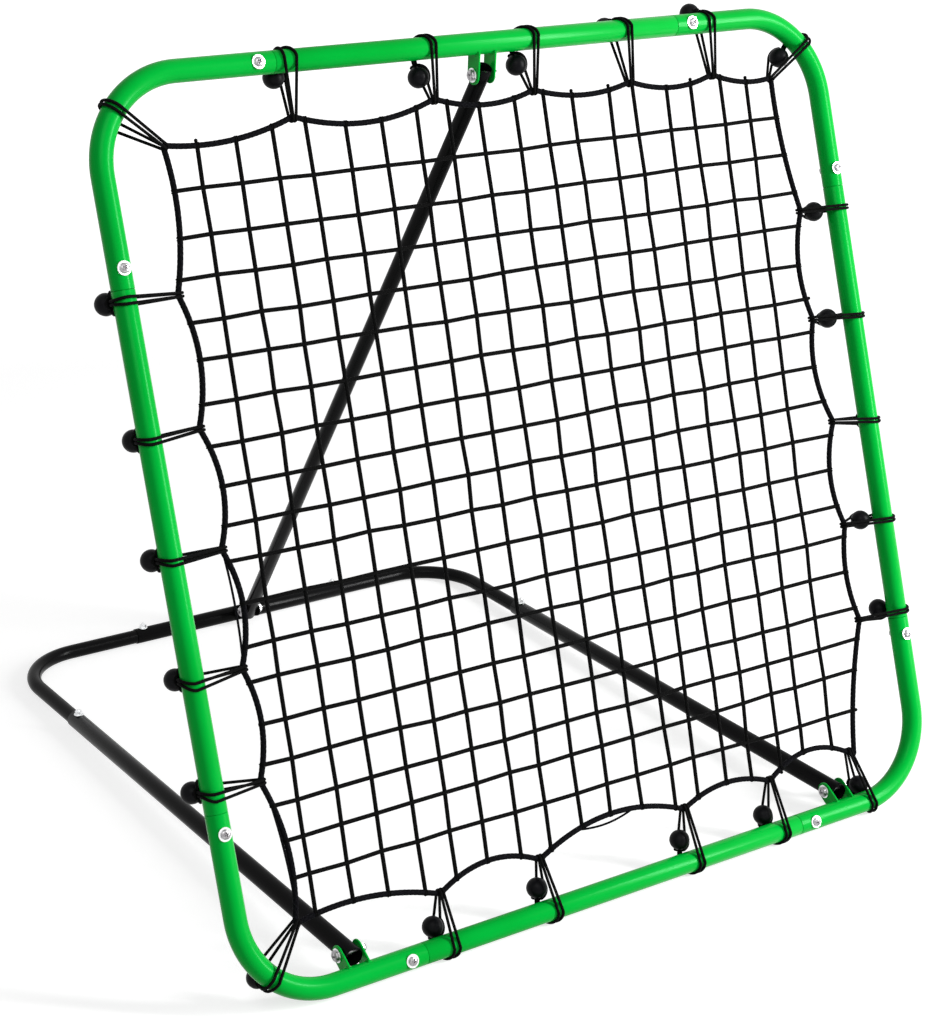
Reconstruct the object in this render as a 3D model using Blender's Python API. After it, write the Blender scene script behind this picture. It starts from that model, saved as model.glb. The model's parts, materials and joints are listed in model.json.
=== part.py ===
"""Rebounder net: a square tube frame that leans back on a U-shaped floor base and one rear strut.

Metres, +Z up. The player stands on the -Y side. The origin is on the floor under the rear tube's middle.
Places on the net frame are written as x from its middle, u up the frame from the bottom tube's centreline,
and back, square to the frame away from the player.
"""
import math

import bmesh
import bpy
from mathutils import Matrix, Vector

# General
GAP = 0.0003
TUBE_SIDES = 12
BEND_STEPS = 6
WALL = 0.0012
SHARP_ANGLE = math.radians(38)

# Net frame
FRAME_SIDE = 0.975
FRAME_TUBE_RADIUS = 0.0125
FRAME_BEND_RADIUS = 0.100
FRAME_LEAN = math.radians(20.3)
FRAME_SEAM = 0.2145
FRAME_PLUG_LENGTH = 0.040
FRAME_BOLT_INSET = 0.0215
SHOULDER_LENGTH = 0.0008

# Pivots on the net frame, from the bottom tube's centreline
LEG_PIVOT_UP = 0.0234
LEG_PIVOT_BACK = 0.0184
STRUT_PIVOT_DROP = 0.033
STRUT_PIVOT_BACK = 0.0125

# Base: each leg stands in from the frame's side tube
LEG_INSET = 0.1335
LEG_RADIUS = 0.011
LEG_NOSE = 0.012
BASE_REACH = 0.872
BASE_BEND_RADIUS = 0.0875
BASE_REAR_SEAM = 0.186
BASE_LEG_SEAM = 0.195
BASE_PLUG_LENGTH = 0.030
BASE_BOLT_INSET = 0.012

# Strut
STRUT_RADIUS = 0.0095
STRUT_NOSE = 0.010
FOOT_PIVOT_FORWARD = 0.029
FOOT_PIVOT_RISE = 0.014

# Clevis plates
EAR_WIDTH = 0.022
EAR_THICKNESS = 0.002
EAR_PLAY = 0.0005
EAR_ROOT_ANGLE = math.radians(68)

# Fasteners
BOLT_SIDES = 8
FRAME_BOLT_RADIUS = 0.0025
FRAME_WASHER_RADIUS = 0.0078
FRAME_WASHER_THICKNESS = 0.0012
FRAME_HEAD_RADIUS = 0.0054
FRAME_HEAD_HEIGHT = 0.0030
FRAME_CROWN_RADIUS = 0.0038
FRAME_NUT_RADIUS = 0.0052
FRAME_NUT_LENGTH = 0.0055
CAPTIVE_HEAD_RADIUS = 0.0040
CAPTIVE_HEAD_HEIGHT = 0.0020
BASE_NUT_RADIUS = 0.0048
BASE_NUT_HEIGHT = 0.0040
BASE_WASHER_RADIUS = 0.0062
BASE_BOLT_END = 0.0025
PIVOT_RADIUS = 0.0040
PIVOT_HEAD_RADIUS = 0.0066
PIVOT_HEAD_LENGTH = 0.0045
PIVOT_CROWN_RADIUS = 0.0040
PIVOT_CROWN_HEIGHT = 0.0015
PIVOT_WASHER_RADIUS = 0.0082
PIVOT_WASHER_THICKNESS = 0.0014
PIVOT_NUT_RADIUS = 0.0072
PIVOT_NUT_LENGTH = 0.0060
PIVOT_BOLT_END = 0.0020

# Net and its elastic ball ties
NET_CELLS = 13
NET_THICKNESS = 0.0040
MESH_CORD_WIDTH = 0.0038
BORDER_WIDTH = 0.0052
TIE_CLEARANCE_ON_NET = 0.008
BALL_RADIUS = 0.012
BALL_SEAT = 0.0008
STRAND_SIZE = 0.0029
STRAND_SPREAD = 0.0090
STRAND_SPREAD_ON_NET = 0.0042
STRAND_SPREAD_IN_BALL = 0.0060
STRAND_END_IN_BALL = 0.0055
STRAND_PAST_BORDER = 0.0023
STRAND_OFF_NET = 0.0024
STRAND_LOOP_DEPTH = 0.0027
STRAND_MITRE_LIMIT = 0.6
WRAP_STEP = math.radians(45)
LAST_WRAP = math.radians(22)

HALF = FRAME_SIDE / 2

# Where the ties hold the net's border: place along the side, and depth in from that side's tube centreline.
# Each row ends with how far the border sags inwards before it reaches that tie, from the one before it.
TOP_TIES = (
    (-HALF + 0.2285, 0.062, 0.010),
    (-0.078, 0.058, 0.016),
    (0.058, 0.059, 0.0115),
    (HALF - 0.2895, 0.061, 0.0105),
    (HALF - 0.1645, 0.062, 0.011),
)
BOTTOM_TIES = (
    (-HALF + 0.2485, 0.057, 0.013),
    (-0.104, 0.058, 0.0185),
    (0.108, 0.061, 0.024),
    (HALF - 0.2455, 0.060, 0.015),
)
LEFT_TIES = (
    (-HALF + 0.232, 0.0565, 0.013),
    (-0.1355, 0.0585, 0.0125),
    (-0.0095, 0.0585, 0.014),
    (0.1175, 0.0575, 0.0145),
    (HALF - 0.231, 0.0595, 0.0135),
)
RIGHT_TIES = (
    (-HALF + 0.221, 0.0635, 0.006),
    (-0.1465, 0.0635, 0.0105),
    (-0.0165, 0.0565, 0.015),
    (0.1135, 0.0635, 0.0135),
    (HALF - 0.240, 0.0565, 0.0135),
)
# Sag of the last stretch of each side, from its last tie to the net's corner
LAST_SAG = {"top": 0.007, "bottom": 0.023, "left": 0.0095, "right": 0.006}

# Where each ball sits: degrees round the tube from the net's side towards the back, its extra distance from
# the tube, and its place along the tube from the strands
TOP_BALLS = ((43, 0, -0.005), (16, 0.006, -0.010), (18, 0.003, -0.012), (108, 0, -0.006), (127, 0, -0.003))
BOTTOM_BALLS = ((32, 0, -0.009), (18, 0.003, -0.005), (18, 0.003, -0.008), (30, 0, -0.009))
LEFT_BALLS = ((121, 0, 0.004), (109, 0, 0.002), (116, 0, 0.002), (105, 0, -0.001), (116, 0, 0.002))
RIGHT_BALLS = ((55, 0, 0.004), (15, 0.006, 0), (100, 0, 0), (13, 0.010, -0.003), (15, 0.006, -0.003))

# Corners of the net, measured in from the crossing of the tube centrelines: across, and up or down
NET_CORNERS = {
    "top_left": (0.0715, 0.078),
    "top_right": (0.0715, 0.073),
    "bottom_left": (0.0685, 0.076),
    "bottom_right": (0.1065, 0.058),
}
CORNER_BALLS = {"top_left": (66, 0.001), "top_right": (14, 0.008), "bottom_left": (100, 0.001)}
CORNER_TIE_MARGIN = 0.0008
CORNER_TIE_SLACK = 0.0042
BOTTOM_RIGHT_TIE = 0.1030
BOTTOM_RIGHT_BALL = (47, 0, 0.006)
BOTTOM_RIGHT_SLACK = 0.003

# Values that follow
FLAT = math.cos(math.pi / TUBE_SIDES)
FRAME_PLUG_RADIUS = FRAME_TUBE_RADIUS - WALL - GAP
BASE_CORNER_RADIUS = LEG_RADIUS - WALL - GAP
STRAND_HALF = STRAND_SIZE / 2
WRAP_FLAT_RADIUS = FRAME_TUBE_RADIUS + GAP + STRAND_HALF
BAR_HEIGHT = WRAP_FLAT_RADIUS + STRAND_HALF
REAR_HEIGHT = LEG_RADIUS * FLAT
LEG_X = HALF - LEG_INSET
PIVOT_BORE_RADIUS = (PIVOT_RADIUS + GAP) / math.cos(math.pi / BOLT_SIDES)
PIVOT_HEIGHT = BAR_HEIGHT + LEG_PIVOT_UP * math.cos(FRAME_LEAN) - LEG_PIVOT_BACK * math.sin(FRAME_LEAN)
BASE_TILT = -math.asin((PIVOT_HEIGHT - REAR_HEIGHT) / BASE_REACH)
PIVOT = Vector((0, -BASE_REACH * math.cos(BASE_TILT), PIVOT_HEIGHT))
STRUT_PIVOT_UP = FRAME_SIDE - STRUT_PIVOT_DROP
LEG_EAR_X = LEG_RADIUS + EAR_PLAY
STRUT_EAR_X = STRUT_RADIUS + EAR_PLAY


def clear_scene():
    for old in list(bpy.data.objects):
        bpy.data.objects.remove(old)


def material(name, colour, roughness, metallic=0.0):
    made = bpy.data.materials.new(name)
    made.use_nodes = True
    shader = made.node_tree.nodes["Principled BSDF"]
    shader.inputs["Base Color"].default_value = (*colour, 1)
    shader.inputs["Roughness"].default_value = roughness
    shader.inputs["Metallic"].default_value = metallic
    return made


def empty(name, place, turn, parent=None):
    """An empty whose X axis is a pivot's axis."""
    made = bpy.data.objects.new(name, None)
    made.parent = parent
    made.location = place
    made.rotation_euler = (turn, 0, 0)
    bpy.context.collection.objects.link(made)
    return made


def add_object(name, build, parent, finish=None):
    """A named object from a bmesh. Without a finish it is a guide that only cuts or joins others."""
    bmesh.ops.recalc_face_normals(build, faces=build.faces)
    mesh = bpy.data.meshes.new(name)
    build.to_mesh(mesh)
    build.free()
    mesh.shade_smooth()
    mesh.set_sharp_from_angle(angle=SHARP_ANGLE)
    made = bpy.data.objects.new(name, mesh)
    made.parent = parent
    bpy.context.collection.objects.link(made)
    if finish:
        mesh.materials.append(finish)
    else:
        made.hide_render = True
        made.display_type = "WIRE"
    return made


def combine(target, other, operation):
    change = target.modifiers.new(f"{operation.lower()}_{other.name}", "BOOLEAN")
    change.operation = operation
    change.object = other


def loft(build, rings, loop=False):
    """Skins rings of points. A loop joins the last ring to the first; otherwise both ends are capped."""
    made = [[build.verts.new(point) for point in ring] for ring in rings]
    count = len(made[0])
    pairs = list(zip(made, made[1:]))
    if loop:
        pairs.append((made[-1], made[0]))
    else:
        build.faces.new(made[0])
        build.faces.new(reversed(made[-1]))
    for near, far in pairs:
        for k in range(count):
            following = (k + 1) % count
            build.faces.new((near[k], near[following], far[following], far[k]))


def ring(centre, across, up, radius, sides=TUBE_SIDES, roll=0.0):
    """A round ring with a flat, not a corner, on the across and up axes."""
    angles = [(k + 0.5) * 2 * math.pi / sides + roll for k in range(sides)]
    return [centre + radius * (math.cos(a) * across + math.sin(a) * up) for a in angles]


def hex_ring(centre, across, up, radius):
    """A hexagon with a point in the middle of each side, so it skins to a twelve-sided ring."""
    middle = radius * math.cos(math.pi / 6)
    return [centre + (middle if k % 2 else radius) * (math.cos(k * math.pi / 6) * across
                                                    + math.sin(k * math.pi / 6) * up) for k in range(12)]


def turned(build, start, axis, across, profile, sides=BOLT_SIDES):
    """A solid of revolution: profile holds pairs of distance along the axis and radius."""
    up = axis.cross(across)
    loft(build, [ring(start + axis * along, across, up, radius, sides) for along, radius in profile])


def pipe(build, stations, wall, roll=0.0):
    """A hollow tube with open ends through stations of centre, across, up and outer radius."""
    outer = [ring(c, a, u, r, roll=roll) for c, a, u, r in stations]
    inner = [ring(c, a, u, r - wall, roll=roll) for c, a, u, r in reversed(stations)]
    loft(build, outer + inner, loop=True)


def on_frame(x, u, back=0.0):
    """A place on the net frame, in the frame's own axes with the leg pivot at zero."""
    return Vector((x, back - LEG_PIVOT_BACK, u - LEG_PIVOT_UP))


X = Vector((1, 0, 0))
Y = Vector((0, 1, 0))
Z = Vector((0, 0, 1))


def cylinder_guide(name, parent, holes, radius, sides=BOLT_SIDES):
    """One guide that cuts straight holes, each given by its start, axis, across and length."""
    build = bmesh.new()
    for start, axis, across, length in holes:
        turned(build, start, axis, across, ((0, radius), (length, radius)), sides)
    return add_object(name, build, parent)


def ear_outline(root, root_radius, pivot):
    """A plate's outline in the plane square to X: an arc inside the tube's wall, then a round end."""
    reach = pivot - root
    heading = math.atan2(reach.z, reach.y)
    outline = []
    for k in range(7):
        angle = heading + EAR_ROOT_ANGLE * (1 - k / 3)
        outline.append(root + root_radius * Vector((0, math.cos(angle), math.sin(angle))))
    for k in range(9):
        angle = heading - math.pi / 2 + math.pi * k / 8
        outline.append(pivot + EAR_WIDTH / 2 * Vector((0, math.cos(angle), math.sin(angle))))
    return outline


def add_clevis(tube, name, x, inner_face, root, tube_radius, pivot):
    """Welds a pair of plates to a tube, and bores them for the pivot bolt."""
    build = bmesh.new()
    outline = ear_outline(root, (tube_radius * FLAT + tube_radius - WALL) / 2, pivot)
    for side in (-1, 1):
        faces = (x + side * inner_face, x + side * (inner_face + EAR_THICKNESS))
        loft(build, [[Vector((face, p.y, p.z)) for p in outline] for face in faces])
    combine(tube, add_object(f"{name}_plates", build, tube.parent), "UNION")
    reach = inner_face + 2 * EAR_THICKNESS
    bore = [(Vector((x - reach, pivot.y, pivot.z)), X, Y, 2 * reach)]
    combine(tube, cylinder_guide(f"{name}_bore", tube.parent, bore, PIVOT_BORE_RADIUS), "DIFFERENCE")


# The four sides of the net frame: its middle, the direction along it, and the direction in towards the net
SIDES = {
    "top": (on_frame(0, FRAME_SIDE), X, -Z),
    "bottom": (on_frame(0, 0), X, Z),
    "left": (on_frame(-HALF, HALF), Z, X),
    "right": (on_frame(HALF, HALF), Z, -X),
}
CORNERS = {"top_left": (-1, 1), "top_right": (1, 1), "bottom_left": (-1, -1), "bottom_right": (1, -1)}


def frame_tube(side, parent, finish):
    """A straight tube whose swaged ends plug into the corner tubes."""
    middle, along, inward = SIDES[side]
    seam = HALF - FRAME_SEAM
    shoulder = seam - GAP
    end = seam + FRAME_PLUG_LENGTH
    outer = [(shoulder - SHOULDER_LENGTH, FRAME_TUBE_RADIUS), (shoulder, FRAME_PLUG_RADIUS),
             (end, FRAME_PLUG_RADIUS)]
    inner = [(end, FRAME_PLUG_RADIUS - WALL), (shoulder - WALL, FRAME_PLUG_RADIUS - WALL),
             (shoulder - WALL - SHOULDER_LENGTH, FRAME_TUBE_RADIUS - WALL)]
    profile = [(-s, r) for s, r in reversed(outer)] + outer + inner + [(-s, r) for s, r in reversed(inner)]
    build = bmesh.new()
    loft(build, [ring(middle + along * s, inward, Y, r) for s, r in profile], loop=True)
    tube = add_object(f"frame_{side}_tube", build, parent, finish)
    combine(tube, bolt_holes(f"frame_{side}_holes", side, (-1, 1), parent), "DIFFERENCE")
    return tube


def bolt_place(side, end):
    middle, along, _ = SIDES[side]
    return middle + along * end * (HALF - FRAME_SEAM + FRAME_BOLT_INSET)


def bolt_holes(name, side, ends, parent):
    start = -Y * 2 * FRAME_TUBE_RADIUS
    holes = [(bolt_place(side, end) + start, Y, X, 4 * FRAME_TUBE_RADIUS) for end in ends]
    return cylinder_guide(name, parent, holes, FRAME_BOLT_RADIUS + GAP)


def corner_stations(centre, sign_a, sign_b, axis_a, axis_b, ends, bend_radius, tube_radius):
    """A bent tube in one plane. Its ends lie past the bend by ends[0] along a, and ends[1] along b."""
    normal = axis_a.cross(axis_b)
    a = axis_a * sign_a
    b = axis_b * sign_b
    stations = [(centre + b * bend_radius - a * ends[0], b, normal, tube_radius)]
    for k in range(BEND_STEPS + 1):
        angle = math.pi / 2 * (1 - k / BEND_STEPS)
        outward = a * math.cos(angle) + b * math.sin(angle)
        stations.append((centre + outward * bend_radius, outward, normal, tube_radius))
    stations.append((centre + a * bend_radius - b * ends[1], a, normal, tube_radius))
    return stations


def frame_corner(corner, parent, finish):
    sign_x, sign_u = CORNERS[corner]
    inset = HALF - FRAME_BEND_RADIUS
    centre = on_frame(sign_x * inset, HALF + sign_u * inset)
    straight = FRAME_SEAM - FRAME_BEND_RADIUS
    build = bmesh.new()
    stations = corner_stations(centre, sign_x, sign_u, X, Z, (straight, straight), FRAME_BEND_RADIUS,
                               FRAME_TUBE_RADIUS)
    pipe(build, stations, WALL)
    tube = add_object(f"frame_corner_{corner}", build, parent, finish)
    vertical, across = corner.split("_")
    combine(tube, bolt_holes(f"{tube.name}_{vertical}_hole", vertical, (sign_x,), parent), "DIFFERENCE")
    combine(tube, bolt_holes(f"{tube.name}_{across}_hole", across, (sign_u,), parent), "DIFFERENCE")
    if vertical == "bottom":
        x = sign_x * LEG_X
        add_clevis(tube, tube.name, x, LEG_EAR_X, on_frame(x, 0), FRAME_TUBE_RADIUS, Vector((x, 0, 0)))
    return tube


def frame_bolt(name, side, end, parent, finish):
    """A bolt through both tubes from the front: washer and round head in front, capped nut behind."""
    seat = FRAME_TUBE_RADIUS * FLAT + GAP
    washer = seat + FRAME_WASHER_THICKNESS
    head = washer + FRAME_HEAD_HEIGHT
    nut = seat + FRAME_NUT_LENGTH
    profile = ((-nut, FRAME_NUT_RADIUS), (-seat, FRAME_NUT_RADIUS),
               (-seat, FRAME_BOLT_RADIUS), (seat, FRAME_BOLT_RADIUS), (seat, FRAME_WASHER_RADIUS),
               (washer, FRAME_WASHER_RADIUS), (washer, FRAME_HEAD_RADIUS), (head, FRAME_CROWN_RADIUS))
    build = bmesh.new()
    turned(build, bolt_place(side, end), -Y, X, profile)
    return add_object(name, build, parent, finish)


def base_bolt(name, place, parent, finish):
    """A captive bolt that clamps the two upper walls: its head is inside the inner tube, its nut on top."""
    bore = (BASE_CORNER_RADIUS - WALL) * FLAT - GAP
    floor = -math.sqrt(bore ** 2 - CAPTIVE_HEAD_RADIUS ** 2)
    seat = LEG_RADIUS * FLAT + GAP
    top = seat + FRAME_WASHER_THICKNESS
    profile = ((floor, CAPTIVE_HEAD_RADIUS), (floor + CAPTIVE_HEAD_HEIGHT, CAPTIVE_HEAD_RADIUS),
               (floor + CAPTIVE_HEAD_HEIGHT, FRAME_BOLT_RADIUS), (seat, FRAME_BOLT_RADIUS),
               (seat, BASE_WASHER_RADIUS), (top, BASE_WASHER_RADIUS), (top, BASE_NUT_RADIUS),
               (top + BASE_NUT_HEIGHT, BASE_NUT_RADIUS),
               (top + BASE_NUT_HEIGHT + BASE_BOLT_END, FRAME_BOLT_RADIUS))
    build = bmesh.new()
    turned(build, place, Z, X, profile)
    return add_object(name, build, parent, finish)


def pivot_bolt(name, place, inner_face, shank_end, parent, finish):
    """A pivot bolt from the -X side. Its shank ends shank_end past the pivot's middle."""
    seat = inner_face + EAR_THICKNESS + GAP
    washer = seat + PIVOT_WASHER_THICKNESS
    head = washer + PIVOT_HEAD_LENGTH
    profile = ((-head, PIVOT_CROWN_RADIUS), (-head + PIVOT_CROWN_HEIGHT, PIVOT_HEAD_RADIUS),
               (-washer, PIVOT_HEAD_RADIUS), (-washer, PIVOT_WASHER_RADIUS), (-seat, PIVOT_WASHER_RADIUS),
               (-seat, PIVOT_RADIUS), (shank_end, PIVOT_RADIUS))
    build = bmesh.new()
    turned(build, place, X, Y, profile)
    return add_object(name, build, parent, finish)


def pivot_nut(name, place, inner_face, parent, finish):
    """A hexagon nut round the pivot bolt's end, on the +X side."""
    seat = place + X * (inner_face + EAR_THICKNESS + GAP)
    far = seat + X * PIVOT_NUT_LENGTH
    bore = PIVOT_RADIUS + GAP
    build = bmesh.new()
    loft(build, [hex_ring(seat, Y, Z, PIVOT_NUT_RADIUS), hex_ring(far, Y, Z, PIVOT_NUT_RADIUS),
                 ring(far, Y, Z, bore, 12), ring(seat, Y, Z, bore, 12)], loop=True)
    return add_object(name, build, parent, finish)


def base_tubes(parent, finish):
    """Two legs, the rear tube, and the two thinner bent tubes that plug into them."""
    for side, sign in (("left", -1), ("right", 1)):
        x = sign * LEG_X
        leg_end = BASE_REACH - BASE_LEG_SEAM
        build = bmesh.new()
        pipe(build, [(Vector((x, y, 0)), X, Z, LEG_RADIUS) for y in (-LEG_NOSE, leg_end)], WALL)
        leg = add_object(f"base_leg_{side}", build, parent, finish)
        bore = [(Vector((x - 2 * LEG_RADIUS, 0, 0)), X, Y, 4 * LEG_RADIUS)]
        combine(leg, cylinder_guide(f"{leg.name}_bore", parent, bore, PIVOT_BORE_RADIUS), "DIFFERENCE")

        centre = Vector((x - sign * BASE_BEND_RADIUS, BASE_REACH - BASE_BEND_RADIUS, 0))
        ends = (BASE_REAR_SEAM + BASE_PLUG_LENGTH - BASE_BEND_RADIUS,
                BASE_LEG_SEAM + BASE_PLUG_LENGTH - BASE_BEND_RADIUS)
        stations = corner_stations(centre, sign, 1, X, Y, ends, BASE_BEND_RADIUS, BASE_CORNER_RADIUS)
        build = bmesh.new()
        pipe(build, stations, WALL)
        corner = add_object(f"base_corner_{side}", build, parent, finish)

        leg_bolt = Vector((x, BASE_REACH - BASE_LEG_SEAM - BASE_BOLT_INSET, 0))
        rear_bolt = Vector((sign * (LEG_X - BASE_REAR_SEAM - BASE_BOLT_INSET), BASE_REACH, 0))
        holes = [(place, Z, X, 2 * LEG_RADIUS) for place in (leg_bolt, rear_bolt)]
        drill = cylinder_guide(f"base_{side}_holes", parent, holes, FRAME_BOLT_RADIUS + GAP)
        combine(corner, drill, "DIFFERENCE")
        combine(leg, drill, "DIFFERENCE")
        yield f"base_bolt_{side}_leg", leg_bolt, drill
        yield f"base_bolt_{side}_rear", rear_bolt, drill


def rear_tube(parent, finish):
    """The tube that the part rests on: it is rolled so that one of its flats lies on the floor."""
    half = LEG_X - BASE_REAR_SEAM
    build = bmesh.new()
    stations = [(Vector((x, BASE_REACH, 0)), Y, Z, LEG_RADIUS) for x in (-half, half)]
    pipe(build, stations, WALL, roll=-BASE_TILT)
    tube = add_object("base_rear_tube", build, parent, finish)
    add_clevis(tube, tube.name, 0, STRUT_EAR_X, Vector((0, BASE_REACH, 0)), LEG_RADIUS, foot_pivot())
    return tube


def foot_pivot():
    """The strut's foot pivot in the base's own axes."""
    return Vector((0, BASE_REACH - FOOT_PIVOT_FORWARD, FOOT_PIVOT_RISE))


def strut(parent, length, finish):
    """The strut hangs down its own -Z axis from the pivot at zero."""
    build = bmesh.new()
    pipe(build, [(Vector((0, 0, z)), X, Y, STRUT_RADIUS) for z in (STRUT_NOSE, -length - STRUT_NOSE)], WALL)
    tube = add_object("strut_tube", build, parent, finish)
    bores = [(Vector((-2 * STRUT_RADIUS, 0, z)), X, Y, 4 * STRUT_RADIUS) for z in (0, -length)]
    combine(tube, cylinder_guide("strut_bores", parent, bores, PIVOT_BORE_RADIUS), "DIFFERENCE")
    return tube


def net_corner(corner):
    """A corner of the net's border as x and u from the frame's middle."""
    sign_x, sign_u = CORNERS[corner]
    across, rise = NET_CORNERS[corner]
    return sign_x * (HALF - across), sign_u * (HALF - rise)


def border_line(side, ties):
    """The border's centreline along one side: its stops, and its depth at any place along the side."""
    first, last = {"top": ("top_left", "top_right"), "bottom": ("bottom_left", "bottom_right"),
                   "left": ("bottom_left", "top_left"), "right": ("bottom_right", "top_right")}[side]
    axis = 0 if side in ("top", "bottom") else 1
    start = net_corner(first)
    end = net_corner(last)
    stops = [start[axis]] + [tie[0] for tie in ties] + [end[axis]]
    depths = [HALF - abs(start[1 - axis])] + [tie[1] for tie in ties] + [HALF - abs(end[1 - axis])]
    sags = [tie[2] for tie in ties] + [LAST_SAG[side]]

    def depth(place):
        span = max(k for k in range(len(sags)) if k == 0 or stops[k] <= place)
        share = (place - stops[span]) / (stops[span + 1] - stops[span])
        straight = depths[span] + share * (depths[span + 1] - depths[span])
        return straight + sags[span] * 4 * share * (1 - share)

    return stops, depth


def cord_places(stops):
    """Even places for the mesh cords along a side, moved off any tie that they would touch."""
    places = []
    for k in range(1, NET_CELLS):
        place = stops[0] + (stops[-1] - stops[0]) * k / NET_CELLS
        for stop in stops[1:-1]:
            if abs(place - stop) < TIE_CLEARANCE_ON_NET:
                place = stop + math.copysign(TIE_CLEARANCE_ON_NET, place - stop)
        places.append(place)
    return places


def net(parent, finish):
    """The knotted net as one flat piece: mesh cords, and a border that is scalloped between its ties."""
    lines = {"top": border_line("top", TOP_TIES), "bottom": border_line("bottom", BOTTOM_TIES),
             "left": border_line("left", LEFT_TIES), "right": border_line("right", RIGHT_TIES)}
    cords = {side: cord_places(stops) for side, (stops, _) in lines.items()}
    half_cord = MESH_CORD_WIDTH / 2
    half_border = BORDER_WIDTH / 2
    build = bmesh.new()

    def vertex(x, u):
        return build.verts.new(on_frame(x, HALF + u))

    def border_vertex(side, place, offset):
        edge = HALF - lines[side][1](place) + offset
        if side in ("left", "right"):
            return vertex(edge if side == "right" else -edge, place)
        return vertex(place, edge if side == "top" else -edge)

    knots = {}
    for i in range(NET_CELLS - 1):
        for j in range(NET_CELLS - 1):
            share_u = (j + 1) / NET_CELLS
            share_x = (i + 1) / NET_CELLS
            x = cords["bottom"][i] + (cords["top"][i] - cords["bottom"][i]) * share_u
            u = cords["left"][j] + (cords["right"][j] - cords["left"][j]) * share_x
            around = ((-1, -1), (1, -1), (1, 1), (-1, 1))
            knots[i, j] = {(a, b): vertex(x + a * half_cord, u + b * half_cord) for a, b in around}
            build.faces.new([knots[i, j][key] for key in around])
    for (i, j), knot in knots.items():
        if (i + 1, j) in knots:
            near = knots[i + 1, j]
            build.faces.new((knot[1, -1], near[-1, -1], near[-1, 1], knot[1, 1]))
        if (i, j + 1) in knots:
            above = knots[i, j + 1]
            build.faces.new((knot[-1, 1], knot[1, 1], above[1, -1], above[-1, -1]))

    ends = {}
    loops = {}
    for side, (stops, _) in lines.items():
        places = []
        for k, cord in enumerate(cords[side]):
            places += [(cord - half_cord, (k, -1)), (cord + half_cord, (k, 1))]
        middles = [(a + b) / 2 for a, b in zip(stops, stops[1:])]
        for extra in stops[1:-1] + middles:
            if all(abs(extra - cord) > TIE_CLEARANCE_ON_NET - half_cord for cord in cords[side]):
                places.append((extra, None))
        places.sort(key=lambda item: item[0])
        loops[side] = []
        for place, key in places:
            inner = border_vertex(side, place, -half_border)
            loops[side].append((border_vertex(side, place, half_border), inner))
            if key:
                ends[side, key] = inner
    for side, row in (("top", NET_CELLS - 2), ("bottom", 0)):
        outward = 1 if side == "top" else -1
        for i in range(NET_CELLS - 1):
            knot = knots[i, row]
            build.faces.new((knot[-1, outward], knot[1, outward], ends[side, (i, 1)], ends[side, (i, -1)]))
    for side, column in (("right", NET_CELLS - 2), ("left", 0)):
        outward = 1 if side == "right" else -1
        for j in range(NET_CELLS - 1):
            knot = knots[column, j]
            build.faces.new((knot[outward, -1], knot[outward, 1], ends[side, (j, 1)], ends[side, (j, -1)]))

    bends = {}
    for corner, (sign_x, sign_u) in CORNERS.items():
        x, u = net_corner(corner)
        reach = (half_border, -half_border)
        bends[corner] = tuple(vertex(x + sign_x * r, u + sign_u * r) for r in reach)
    border = [bends["top_left"], *loops["top"], bends["top_right"], *reversed(loops["right"]),
              bends["bottom_right"], *reversed(loops["bottom"]), bends["bottom_left"], *loops["left"]]
    for (outer, inner), (next_outer, next_inner) in zip(border, border[1:] + border[:1]):
        build.faces.new((outer, next_outer, next_inner, inner))

    made = add_object("net", build, parent, finish)
    thickness = made.modifiers.new("thickness", "SOLIDIFY")
    thickness.thickness = NET_THICKNESS
    thickness.offset = 0
    return made


def strand_path(border, ball_angle, ball_distance, slack):
    """One strand's route round the border and the tube: pairs of inward and back from the tube's centre."""
    beyond = border + BORDER_WIDTH / 2 + STRAND_PAST_BORDER + slack
    face = NET_THICKNESS / 2 + STRAND_OFF_NET
    tip = beyond + STRAND_LOOP_DEPTH
    ball = Vector((math.cos(ball_angle), math.sin(ball_angle))) * ball_distance
    rear = Vector((beyond, face))
    path = [ball + (rear - ball).normalized() * STRAND_END_IN_BALL, rear, Vector((tip, 0)),
            Vector((beyond, -face))]
    floor_angle = -math.pi - FRAME_LEAN
    angle = floor_angle + 2.5 * WRAP_STEP
    radius = WRAP_FLAT_RADIUS / math.cos(WRAP_STEP / 2)
    while angle > ball_angle + LAST_WRAP - 2 * math.pi:
        path.append(Vector((math.cos(angle), math.sin(angle))) * radius)
        angle -= WRAP_STEP
    path.append(ball.normalized() * (ball_distance - STRAND_END_IN_BALL))
    return path


def strand_rings(points, along):
    """Square rings down a strand, each mitred at its point and with two faces square to the tube."""
    rings = []
    for k, point in enumerate(points):
        before = (point - points[max(k - 1, 0)]).normalized()
        after = (points[min(k + 1, len(points) - 1)] - point).normalized()
        heading = (before + after).normalized()
        side = heading.cross(along).normalized()
        widest = max(heading.dot(after if before.length == 0 else before), STRAND_MITRE_LIMIT)
        corners = ((-1, -1), (1, -1), (1, 1), (-1, 1))
        rings.append([point + STRAND_HALF * (a * along + b / widest * side) for a, b in corners])
    return rings


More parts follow.
